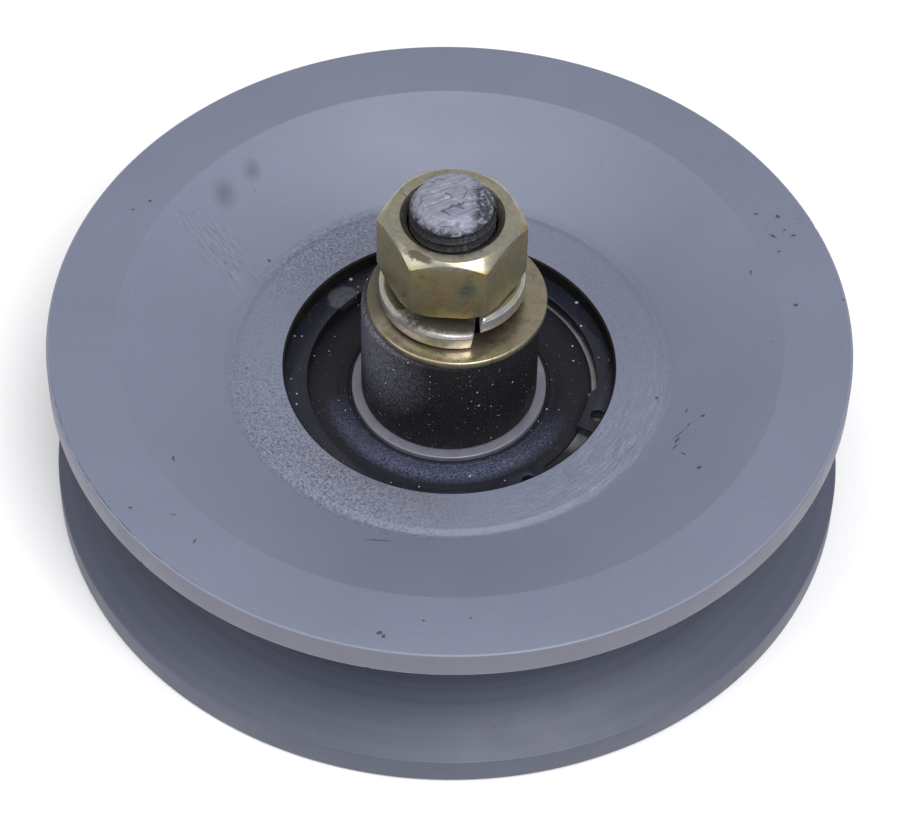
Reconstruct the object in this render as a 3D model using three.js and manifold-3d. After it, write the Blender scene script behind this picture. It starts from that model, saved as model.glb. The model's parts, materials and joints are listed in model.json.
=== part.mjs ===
// Belt tensioner idler: a V-grooved pulley that turns on a sealed ball bearing.
// A bolt, a stepped bush, two washers and a nut hold the bearing's inner ring to the tensioner's arm.
// Millimetres. +Z is the spin axis. The origin is the centre of the lower rim's flat face.

import * as THREE from "three";
import { mergeVertices } from "three/addons/utils/BufferGeometryUtils.js";
import Module from "manifold-3d";

// ---- driving dimensions ----

const gap = {
  seat: 0.05, // between faces that rest on each other
  push: 0.1, // a ring pushed into its seat
  loose: 0.3, // a piece that drops over or into another
  ball: 0.25, // ball to raceway
  pocket: 0.35, // ball to cage
  run: 0.3, // a turning face beside a still one
};

const pulley = {
  diameter: 150,
  width: 38.3,
  rimLand: 5.5, // straight part of each rim
  faceWidth: 12.7, // flat turned face of each rim
  grooveDepth: 20,
  flankAngle: 18, // degrees, half of the groove's angle
  boreChamfer: 0.4,
  bossWidth: 8.1, // flat face round the bearing's bore
  reliefWidth: 2.7, // shallow turned ring between boss and dish
  reliefDepth: 0.5,
  shoulderHeight: 5.8, // bearing's seat above the lower rim's face
  shoulderThickness: 3,
  shoulderLip: 4, // how far the shoulder reaches in under the bearing
  lowerBossWidth: 9,
  lowerDishDepth: 7,
  lowerDishRun: 8, // from the lower boss out to the dish's deepest ring
};

const bearing = {
  bore: 25,
  outside: 62,
  width: 17,
  edge: 0.6, // edge chamfer of both rings
  balls: 7,
  innerShoulder: 3.3, // from the pitch circle in to the inner ring's shoulder
  outerShoulder: 4.45, // from the pitch circle out to the outer ring's shoulder
};

const cage = {
  thickness: 0.6,
  halfWidth: 2.5, // radial, to each side of the pitch circle
  rivetShare: 0.35, // rivet's radius over half the flat land between two pockets
  rivetHeadShare: 0.62,
  rivetTopShare: 0.6, // the head's flat top over the whole head
  rivetHeadHeight: 0.8,
};

const seal = {
  setIn: 0.4, // below the bearing's face
  rubber: 0.65,
  insert: 0.4,
  bead: 0.6, // how far the rubber's edge reaches into the outer ring
  beadHeight: 0.8,
  landWidth: 0.8, // outer ring's shoulder beyond the seal
  insertLip: 0.9, // the insert stops this far from the inner ring
  insertEdge: 1.4, // and this far inside the seal's seat
};

const clip = {
  thickness: 2,
  grooveDepth: 1.5,
  band: 4.9, // radial width half way round
  offset: 0.7, // the inner edge's centre, towards the gap
  lugReach: 5.6, // from the outer edge in to the lug's inner edge
  lugHole: 1.35,
  gapHalfAngle: 12.6, // degrees
  holeAngle: 20.4, // degrees from the middle of the gap
  lugHalfAngle: 34,
  lugSlope: 3, // degrees over which the lug narrows to the band
  gapDirection: -38.6, // where the gap stands round the axis
  lipHeight: 3.3, // bore edge above the clip
};

const bush = { collar: 33.2, collarHeight: 23.2, edge: 0.7 };
const bolt = { thread: 16, head: 34, headThickness: 4, headFlats: 30, headEdge: 0.6, tip: 2.8, standsOut: 5.1 };
const flatWasher = { outside: 33.3, thickness: 1.5, boreSlack: 1.5, edge: 0.35, shift: 1.15 };

const splitWasher = {
  band: 5,
  boreSlack: 0.5,
  thickness: 3.5,
  rise: 3.5, // one end stands this far above the other
  splitAngle: 12, // degrees
  splitDirection: -66.8,
  shift: 0.2, // beside the axis, towards +X
};

const nut = {
  acrossFlats: 24,
  height: 14.2,
  faceDiameter: 22.4, // flat top inside the chamfer
  chamferAngle: 38, // degrees below the flat top
  countersink: 1.3,
  facing: -92.5, // degrees, the way one flat looks
};

const SEGMENTS = {
  pulley: 64,
  bearing: 40,
  raceway: 6,
  shaft: 48,
  ball: 12,
  cage: 28,
  rivet: 8,
  clip: 20,
  split: 24,
};

// ---- sizes that follow ----

const DEGREE = Math.PI / 180;
const half = (size) => size / 2;

const seatRadius = half(bearing.outside) + gap.push;
const bearingBottom = pulley.shoulderHeight + gap.push;
const bearingTop = bearingBottom + bearing.width;
const clipBottom = bearingTop + gap.loose;
const clipTop = clipBottom + clip.thickness;
const clipGroove = {
  low: clipBottom - gap.push,
  high: clipTop + gap.push,
  radius: seatRadius + clip.grooveDepth,
};
const bossHeight = clipGroove.high + clip.lipHeight;

const pitchRadius = half(half(bearing.bore) + half(bearing.outside));
const sealDepth = seal.setIn + seal.rubber + gap.seat + seal.insert;
const ballRadius = half(bearing.width) - sealDepth - gap.run - cage.thickness - gap.pocket;
const racewayRadius = ballRadius + gap.ball;
const innerShoulderRadius = pitchRadius - bearing.innerShoulder;
const outerShoulderRadius = pitchRadius + bearing.outerShoulder;
const sealSeatRadius = outerShoulderRadius + seal.landWidth;
const pocketRadius = ballRadius + gap.pocket;
const cageLand = pitchRadius * Math.sin(Math.PI / bearing.balls) - pocketRadius - cage.thickness;
const rivetRadius = cageLand * cage.rivetShare;
const rivetHeadRadius = cageLand * cage.rivetHeadShare;

const threadRadius = half(bolt.thread);
const bushTop = bearingTop + gap.seat + bush.collarHeight;
const flatWasherBottom = bushTop + gap.seat;
const splitWasherBottom = flatWasherBottom + flatWasher.thickness + gap.seat;
const nutBottom = splitWasherBottom + splitWasher.thickness + splitWasher.rise + gap.loose;
const boltTip = nutBottom + nut.height + bolt.standsOut;

// ---- shape helpers ----

const wasm = await Module();
wasm.setup();

// Turns a closed outline of [radius, height] points about Z. It runs anticlockwise: out, up, in and down.
function turned(outline, segments) {
  const points = [...outline, outline[0]].map(([radius, height]) => new THREE.Vector2(radius, height));
  return new THREE.LatheGeometry(points, segments).rotateX(Math.PI / 2);
}

// A solid without a bore: the outline starts and ends on the axis.
function turnedSolid(outline, segments) {
  const points = outline.map(([radius, height]) => new THREE.Vector2(radius, height));
  return new THREE.LatheGeometry(points, segments).rotateX(Math.PI / 2);
}

// Points on an arc, from one angle to another in degrees, in equal steps.
function arc([centreRadius, centreHeight], radius, from, to, steps) {
  return Array.from({ length: steps + 1 }, (_, step) => {
    const angle = (from + ((to - from) * step) / steps) * DEGREE;
    return [centreRadius + radius * Math.cos(angle), centreHeight + radius * Math.sin(angle)];
  });
}

// A plain ring with its four edges chamfered.
function ringOutline(inner, outer, low, high, edge) {
  return [
    [inner + edge, low],
    [outer - edge, low],
    [outer, low + edge],
    [outer, high - edge],
    [outer - edge, high],
    [inner + edge, high],
    [inner, high - edge],
    [inner, low + edge],
  ];
}

function solidOf(geometry) {
  const bare = geometry.clone();
  bare.deleteAttribute("normal");
  bare.deleteAttribute("uv");
  const merged = mergeVertices(bare);
  const corners = merged.index.array;
  const kept = [];
  for (let i = 0; i < corners.length; i += 3) {
    const [a, b, c] = corners.slice(i, i + 3);
    if (a !== b && b !== c && c !== a) kept.push(a, b, c);
  }
  return new wasm.Manifold(
    new wasm.Mesh({
      numProp: 3,
      vertProperties: Float32Array.from(merged.attributes.position.array),
      triVerts: Uint32Array.from(kept),
    }),
  );
}

function geometryOf(solid) {
  const mesh = solid.getMesh();
  const geometry = new THREE.BufferGeometry();
  geometry.setAttribute("position", new THREE.BufferAttribute(mesh.vertProperties, 3));
  geometry.setIndex(new THREE.BufferAttribute(mesh.triVerts, 1));
  geometry.computeVertexNormals();
  return geometry;
}

function extruded(shape, depth, curveSegments) {
  return new THREE.ExtrudeGeometry(shape, { depth, curveSegments, bevelEnabled: false });
}

// ---- materials ----

const metal = (color, roughness) => new THREE.MeshStandardMaterial({ color, roughness, metalness: 1 });
const coated = (color, roughness) => new THREE.MeshStandardMaterial({ color, roughness, metalness: 0 });

const finish = {
  paint: coated(0x7e869e, 0.45),
  bearingSteel: metal(0x8f8f93, 0.3),
  ballSteel: metal(0xb9bcc0, 0.12),
  pressedSteel: metal(0x9a9a98, 0.4),
  rubber: coated(0x1d2026, 0.7),
  blackSteel: metal(0x25262b, 0.5),
  yellowZinc: metal(0x8d8460, 0.3),
  brightZinc: metal(0xa9a78f, 0.25),
};

// ---- pulley ----

function pulleyBody() {
  const rim = half(pulley.diameter);
  const faceInner = rim - pulley.faceWidth;
  const floor = rim - pulley.grooveDepth;
  const flankDrop = pulley.grooveDepth * Math.tan(pulley.flankAngle * DEGREE);
  const upperLand = pulley.width - pulley.rimLand;
  const lip = seatRadius + pulley.boreChamfer;
  const bossOuter = lip + pulley.bossWidth;
  const shoulderBore = seatRadius - pulley.shoulderLip;
  const lowerBoss = pulley.shoulderHeight - pulley.shoulderThickness;
  const lowerBossOuter = shoulderBore + pulley.lowerBossWidth;
  return turned(
    [
      [shoulderBore, lowerBoss],
      [lowerBossOuter, lowerBoss],
      [lowerBossOuter + pulley.lowerDishRun, pulley.lowerDishDepth],
      [faceInner, 0],
      [rim, 0],
      [rim, pulley.rimLand],
      [floor, pulley.rimLand + flankDrop],
      [floor, upperLand - flankDrop],
      [rim, upperLand],
      [rim, pulley.width],
      [faceInner, pulley.width],
      [bossOuter + pulley.reliefWidth, bossHeight],
      [bossOuter + half(pulley.reliefWidth), bossHeight - pulley.reliefDepth],
      [bossOuter, bossHeight],
      [lip, bossHeight],
      [seatRadius, bossHeight - pulley.boreChamfer],
      [seatRadius, clipGroove.high],
      [clipGroove.radius, clipGroove.high],
      [clipGroove.radius, clipGroove.low],
      [seatRadius, clipGroove.low],
      [seatRadius, pulley.shoulderHeight],
      [shoulderBore, pulley.shoulderHeight],
    ],
    SEGMENTS.pulley,
  );
}

// ---- bearing, about its own middle plane ----

const face = half(bearing.width);
const sealTop = face - seal.setIn;
const rubberLow = sealTop - seal.rubber;
const beadLow = sealTop - seal.beadHeight;
const beadHigh = sealTop - half(seal.setIn);

function racewayArc(shoulderRadius, middle) {
  const spread = Math.acos(Math.abs(shoulderRadius - pitchRadius) / racewayRadius) / DEGREE;
  return arc([pitchRadius, 0], racewayRadius, middle + spread, middle - spread, SEGMENTS.raceway);
}

function outerRing() {
  const outer = half(bearing.outside);
  const slot = sealSeatRadius + seal.bead + gap.seat;
  const slotHigh = beadHigh + gap.seat;
  const slotLow = beadLow - gap.loose;
  return turned(
    [
      [sealSeatRadius, -face],
      [outer - bearing.edge, -face],
      [outer, bearing.edge - face],
      [outer, face - bearing.edge],
      [outer - bearing.edge, face],
      [sealSeatRadius, face],
      [sealSeatRadius, slotHigh],
      [slot, slotHigh],
      [slot, slotLow],
      [outerShoulderRadius, slotLow],
      ...racewayArc(outerShoulderRadius, 0),
      [outerShoulderRadius, -slotLow],
      [slot, -slotLow],
      [slot, -slotHigh],
      [sealSeatRadius, -slotHigh],
    ],
    SEGMENTS.bearing,
  );
}

function innerRing() {
  const bore = half(bearing.bore);
  return turned(
    [
      [bore + bearing.edge, -face],
      [innerShoulderRadius - bearing.edge, -face],
      [innerShoulderRadius, bearing.edge - face],
      ...racewayArc(innerShoulderRadius, 180),
      [innerShoulderRadius, face - bearing.edge],
      [innerShoulderRadius - bearing.edge, face],
      [bore + bearing.edge, face],
      [bore, face - bearing.edge],
      [bore, bearing.edge - face],
    ],
    SEGMENTS.bearing,
  );
}

// The rubber covers the seal's outside, and its rim snaps into the outer ring.
function sealRubber() {
  const lip = innerShoulderRadius + gap.loose;
  const neck = sealSeatRadius - gap.loose;
  const bead = sealSeatRadius + seal.bead - gap.push;
  return turned(
    [
      [lip, rubberLow],
      [neck - seal.landWidth, rubberLow],
      [neck - seal.landWidth, beadLow],
      [bead, beadLow],
      [bead, beadHigh - gap.push],
      [neck, beadHigh - gap.push],
      [neck, sealTop],
      [lip, sealTop],
    ],
    SEGMENTS.bearing,
  );
}

function sealInsert() {
  const inner = innerShoulderRadius + seal.insertLip;
  const outer = sealSeatRadius - seal.insertEdge;
  const high = rubberLow - gap.seat;
  const low = high - seal.insert;
  return turned([[inner, low], [outer, low], [outer, high], [inner, high]], SEGMENTS.bearing);
}

const flipped = (geometry) => geometry.rotateX(Math.PI);

function onPitchCircle(geometry, angle) {
  return geometry.translate(pitchRadius * Math.cos(angle), pitchRadius * Math.sin(angle), 0);
}

const ballAngle = (index) => (index * 2 * Math.PI) / bearing.balls;
const rivetAngle = (index) => ballAngle(index + 0.5);
const ballRings = SEGMENTS.ball - 4;
const ball = (radius) => new THREE.SphereGeometry(radius, SEGMENTS.ball, ballRings).rotateX(Math.PI / 2);

// One half of the riveted ribbon cage: flat lands that carry the rivets, and a domed pocket over each ball.
function cageHalf() {
  const inner = pitchRadius - cage.halfWidth;
  const outer = pitchRadius + cage.halfWidth;
  const band = (low, high) =>
    solidOf(turned([[inner, low], [outer, low], [outer, high], [inner, high]], SEGMENTS.cage));
  let ribbon = band(gap.seat, gap.seat + cage.thickness);
  const pocketSpace = band(gap.seat, pocketRadius + cage.thickness);
  for (let index = 0; index < bearing.balls; index += 1) {
    const dome = solidOf(onPitchCircle(ball(pocketRadius + cage.thickness), ballAngle(index)));
    ribbon = ribbon.add(pocketSpace.intersect(dome));
  }
  const holeRadius = rivetRadius + gap.push;
  for (let index = 0; index < bearing.balls; index += 1) {
    const hole = new THREE.CylinderGeometry(holeRadius, holeRadius, bearing.width, SEGMENTS.rivet);
    ribbon = ribbon.subtract(solidOf(onPitchCircle(ball(pocketRadius), ballAngle(index))));
    ribbon = ribbon.subtract(solidOf(onPitchCircle(hole.rotateX(Math.PI / 2), rivetAngle(index))));
  }
  return geometryOf(ribbon);
}

function rivet() {
  const grip = gap.seat + cage.thickness + gap.seat;
  const end = grip + cage.rivetHeadHeight;
  const top = rivetHeadRadius * cage.rivetTopShare;
  return turnedSolid(
    [
      [0, -end],
      [top, -end],
      [rivetHeadRadius, -grip],
      [rivetRadius, -grip],
      [rivetRadius, grip],
      [rivetHeadRadius, grip],
      [top, end],
      [0, end],
    ],
    SEGMENTS.rivet,
  );
}

// ---- retaining clip, its gap opening towards +X before it is turned into place ----

function retainingClip() {
  const outer = clipGroove.radius - gap.loose;
  const inner = outer - clip.band;
  const lugInner = outer - clip.lugReach;
  const tip = clip.gapHalfAngle * DEGREE;
  const lugEnd = (clip.lugHalfAngle - clip.lugSlope) * DEGREE;
  const bandStart = clip.lugHalfAngle * DEGREE;
  const full = 2 * Math.PI;
  const outline = new THREE.Shape();
  outline.absarc(0, 0, outer, tip, full - tip, false);
  outline.absarc(0, 0, lugInner, full - tip, full - lugEnd, true);
  outline.absarc(clip.offset, 0, inner, full - bandStart, bandStart, true);
  outline.absarc(0, 0, lugInner, lugEnd, tip, true);
  const holeRadius = half(outer + lugInner);
  for (const side of [1, -1]) {
    const angle = side * clip.holeAngle * DEGREE;
    const hole = new THREE.Path();
    hole.absarc(holeRadius * Math.cos(angle), holeRadius * Math.sin(angle), clip.lugHole, 0, full, true);
    outline.holes.push(hole);
  }
  return extruded(outline, clip.thickness, SEGMENTS.clip).rotateZ(clip.gapDirection * DEGREE);
}

// ---- axle: bolt, stepped bush, washers and nut ----

function steppedBush() {
  const bore = threadRadius + gap.loose;
  const spigot = half(bearing.bore) - gap.push;
  const collar = half(bush.collar);
  const low = bearingBottom + gap.loose;
  const step = bearingTop + gap.seat;
  return turned(
    [
      [bore, low],
      [spigot - bush.edge, low],
      [spigot, low + bush.edge],
      [spigot, step],
      [collar - bush.edge, step],
      [collar, step + bush.edge],
      [collar, bushTop - bush.edge],
      [collar - bush.edge, bushTop],
      [bore, bushTop],
    ],
    SEGMENTS.shaft,
  );
}

// A low round head with two spanner flats, and a plain shank in place of the thread's crests.
function axleBolt() {
  const head = half(bolt.head);
  const headTop = bearingBottom - gap.seat;
  const headLow = headTop - bolt.headThickness;
  const shank = turnedSolid(
    [
      [0, headLow],
      [head - bolt.headEdge, headLow],
      [head, headLow + bolt.headEdge],
      [head, headTop],
      [threadRadius, headTop],
      [threadRadius, boltTip - bolt.tip],
      [threadRadius - bolt.tip, boltTip],
      [0, boltTip],
    ],
    SEGMENTS.shaft,
  );
  let solid = solidOf(shank);
  const flat = head - half(bolt.headFlats);
  for (const side of [1, -1]) {
    const cut = new THREE.BoxGeometry(bolt.head, 2 * flat, 3 * bolt.headThickness);
    solid = solid.subtract(solidOf(cut.translate(0, side * head, headLow)));
  }
  return geometryOf(solid);
}

function plainWasher() {
  const bore = threadRadius + flatWasher.boreSlack;
  const high = flatWasherBottom + flatWasher.thickness;
  const outline = ringOutline(bore, half(flatWasher.outside), flatWasherBottom, high, flatWasher.edge);
  return turned(outline, SEGMENTS.shaft);
}

// A flat ring cut once, then sheared into a helix, so that one end stands above the other.
function springWasher() {
  const inner = threadRadius + splitWasher.boreSlack;
  const outer = inner + splitWasher.band;
  const start = half(splitWasher.splitAngle) * DEGREE;
  const end = 2 * Math.PI - start;
  const outline = new THREE.Shape();
  outline.absarc(0, 0, outer, start, end, false);
  outline.absarc(0, 0, inner, end, start, true);
  const geometry = extruded(outline, splitWasher.thickness, SEGMENTS.split);
  const place = geometry.attributes.position;
  for (let i = 0; i < place.count; i += 1) {
    const angle = (Math.atan2(place.getY(i), place.getX(i)) + 2 * Math.PI) % (2 * Math.PI);
    const share = (angle - start) / (end - start);
    place.setZ(i, place.getZ(i) + splitWasher.rise * (1 - share));
  }
  return geometry.rotateZ(splitWasher.splitDirection * DEGREE);
}

function hexNut() {
  const flats = half(nut.acrossFlats);
  const sixth = Math.PI / 3;
  const corner = flats / Math.cos(half(sixth));
  const bore = threadRadius + gap.loose;
  const prism = new THREE.CylinderGeometry(corner, corner, nut.height, 6).rotateX(Math.PI / 2);
  const faceRadius = half(nut.faceDiameter);
  const chamfer = (corner - faceRadius) * Math.tan(nut.chamferAngle * DEGREE);
  const envelope = turnedSolid(
    [
      [0, 0],
      [faceRadius, 0],
      [corner, chamfer],
      [corner, nut.height - chamfer],
      [faceRadius, nut.height],
      [0, nut.height],
    ],
    SEGMENTS.shaft,
  );
  const sink = nut.countersink;
  const core = turnedSolid(
    [
      [0, -sink],
      [bore + 2 * sink, -sink],
      [bore, sink],
      [bore, nut.height - sink],
      [bore + 2 * sink, nut.height + sink],
      [0, nut.height + sink],
    ],
    SEGMENTS.shaft,
  );
  const solid = solidOf(prism.translate(0, 0, half(nut.height)))
    .intersect(solidOf(envelope))
    .subtract(solidOf(core));
  const flatAt = -sixth; // where the prism's own flat looks
  return geometryOf(solid).rotateZ(nut.facing * DEGREE - flatAt);
}

// ---- assembly ----

function piece(name, geometry, material, height = 0) {
  const mesh = new THREE.Mesh(geometry, material);
  mesh.name = name;
  mesh.position.z = height;
  return mesh;
}

function bearingAssembly() {
  const group = new THREE.Group();
  group.position.z = half(bearingBottom + bearingTop);
  group.add(
    piece("bearing_outer_ring", outerRing(), finish.bearingSteel),
    piece("bearing_inner_ring", innerRing(), finish.bearingSteel),
    piece("upper_seal_rubber", sealRubber(), finish.rubber),
    piece("upper_seal_insert", sealInsert(), finish.pressedSteel),
    piece("lower_seal_rubber", flipped(sealRubber()), finish.rubber),
    piece("lower_seal_insert", flipped(sealInsert()), finish.pressedSteel),
    piece("cage_upper_half", cageHalf(), finish.pressedSteel),
    piece("cage_lower_half", flipped(cageHalf()), finish.pressedSteel),
  );
  for (let index = 0; index < bearing.balls; index += 1) {
    const count = index + 1;
    group.add(
      piece(`bearing_ball_${count}`, onPitchCircle(ball(ballRadius), ballAngle(index)), finish.ballSteel),
      piece(`cage_rivet_${count}`, onPitchCircle(rivet(), rivetAngle(index)), finish.pressedSteel),
    );
  }
  return group;
}

function axleAssembly() {
  const group = new THREE.Group();
  const washer = piece("flat_washer", plainWasher(), finish.yellowZinc);
  washer.position.x = flatWasher.shift;
  const spring = piece("split_washer", springWasher(), finish.brightZinc, splitWasherBottom);
  spring.position.x = splitWasher.shift;
  group.add(
    piece("axle_bolt", axleBolt(), finish.blackSteel),
    piece("stepped_bush", steppedBush(), finish.blackSteel),
    washer,
    spring,
    piece("hex_nut", hexNut(), finish.yellowZinc, nutBottom),
  );
  return group;
}

const idler = new THREE.Group();
idler.add(
  piece("pulley_body", pulleyBody(), finish.paint),
  piece("retaining_ring", retainingClip(), finish.blackSteel, clipBottom),
  bearingAssembly(),
  axleAssembly(),
);

export default idler;
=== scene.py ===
"""A belt tensioner's idler: a painted V-groove pulley on a sealed bearing, with its bolt, washers and nut.

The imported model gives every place. Each turned piece is drawn as a half section with rounded corners and
spun about the axis, and the nut, the split washer and the circlip are cut, slanted and drilled from simpler
solids. Lengths inside the classes are in millimetres, and the bench turns them into metres.
"""

from __future__ import annotations

import json
import logging
import math
from dataclasses import dataclass
from enum import Enum

import bpy
from mathutils import Matrix, Vector, noise

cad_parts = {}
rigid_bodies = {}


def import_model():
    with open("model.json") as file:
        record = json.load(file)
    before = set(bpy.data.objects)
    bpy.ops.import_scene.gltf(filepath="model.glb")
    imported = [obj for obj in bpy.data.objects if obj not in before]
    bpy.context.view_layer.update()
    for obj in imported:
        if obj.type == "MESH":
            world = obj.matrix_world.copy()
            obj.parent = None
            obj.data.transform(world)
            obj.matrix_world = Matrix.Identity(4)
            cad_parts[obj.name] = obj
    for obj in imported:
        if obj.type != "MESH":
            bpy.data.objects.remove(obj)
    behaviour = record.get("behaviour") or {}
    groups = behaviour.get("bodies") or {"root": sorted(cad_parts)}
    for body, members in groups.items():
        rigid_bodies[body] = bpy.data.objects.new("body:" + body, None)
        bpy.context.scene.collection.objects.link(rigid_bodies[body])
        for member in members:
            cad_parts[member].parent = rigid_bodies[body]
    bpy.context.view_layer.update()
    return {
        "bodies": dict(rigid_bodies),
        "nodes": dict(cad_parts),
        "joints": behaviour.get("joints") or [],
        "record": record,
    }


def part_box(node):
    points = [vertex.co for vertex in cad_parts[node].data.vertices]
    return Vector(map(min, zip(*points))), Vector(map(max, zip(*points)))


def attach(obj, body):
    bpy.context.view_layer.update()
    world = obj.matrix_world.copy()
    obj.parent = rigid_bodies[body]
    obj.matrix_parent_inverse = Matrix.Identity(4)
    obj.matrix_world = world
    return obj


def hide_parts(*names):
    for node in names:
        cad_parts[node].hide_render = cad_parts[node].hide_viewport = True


LOG = logging.getLogger("idler")
MM = 0.001
FULL_TURN = 2 * math.pi

Point = tuple[float, float]
Corner = tuple[float, float, float]
Colour = tuple[float, float, float]
Socket = bpy.types.NodeSocket


class Body(Enum):
    """The bodies that the drawn pieces ride on. Each ball has one of its own."""

    AXLE = "axle"
    PULLEY = "pulley"


class Edge(Enum):
    """The upper rim's two edges."""

    TOP = "top"
    UNDER = "under"


class Slot(Enum):
    """The record's material slots."""

    PAINT = "pulley_paint"
    BEARING = "bearing_steel"
    BALL = "ball_steel"
    PRESSED = "pressed_steel"
    RUBBER = "seal_rubber"
    CLIP = "clip_steel"
    BLACK = "black_steel"
    YELLOW = "yellow_zinc"
    BRIGHT = "bright_zinc"


class Mould(Enum):
    """How two solids are combined."""

    CUT = "DIFFERENCE"
    KEEP = "INTERSECT"


# ---- modelling ----


def rounded(corners: list[Corner], steps: int = 4, closed: bool = True) -> list[Point]:
    """Turns corners into an outline whose corners are rounded.

    Args:
        corners: Radius, height and rounding of each corner, in order.
        steps: How many straight pieces a rounding has.
        closed: Whether the last corner is followed by the first.

    Returns:
        The outline's points.
    """
    points: list[Point] = []
    count = len(corners)
    for index, (x, y, radius) in enumerate(corners):
        ends = not closed and index in (0, count - 1)
        if radius <= 0 or ends:
            points.append((x, y))
            continue
        here = Vector((x, y))
        before = (Vector(corners[index - 1][:2]) - here).normalized()
        after = (Vector(corners[(index + 1) % count][:2]) - here).normalized()
        opening = before.angle(after) / 2
        centre = here + (before + after).normalized() * (radius / math.sin(opening))
        start = here + before * (radius / math.tan(opening)) - centre
        end = here + after * (radius / math.tan(opening)) - centre
        turn = start.angle_signed(end)
        for step in range(steps + 1):
            arm = start.copy()
            arm.rotate(Matrix.Rotation(-turn * step / steps, 2))
            points.append(tuple(centre + arm))
    return points


def arc(centre: Point, radius: float, start: float, end: float, steps: int) -> list[Point]:
    """Lays points along an arc.

    Args:
        centre: The arc's centre.
        radius: Its radius.
        start: The first point's angle in degrees.
        end: The last point's angle in degrees.
        steps: How many straight pieces the arc has.

    Returns:
        The points.
    """
    angles = [math.radians(start + (end - start) * step / steps) for step in range(steps + 1)]
    return [(centre[0] + radius * math.cos(a), centre[1] + radius * math.sin(a)) for a in angles]


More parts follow.
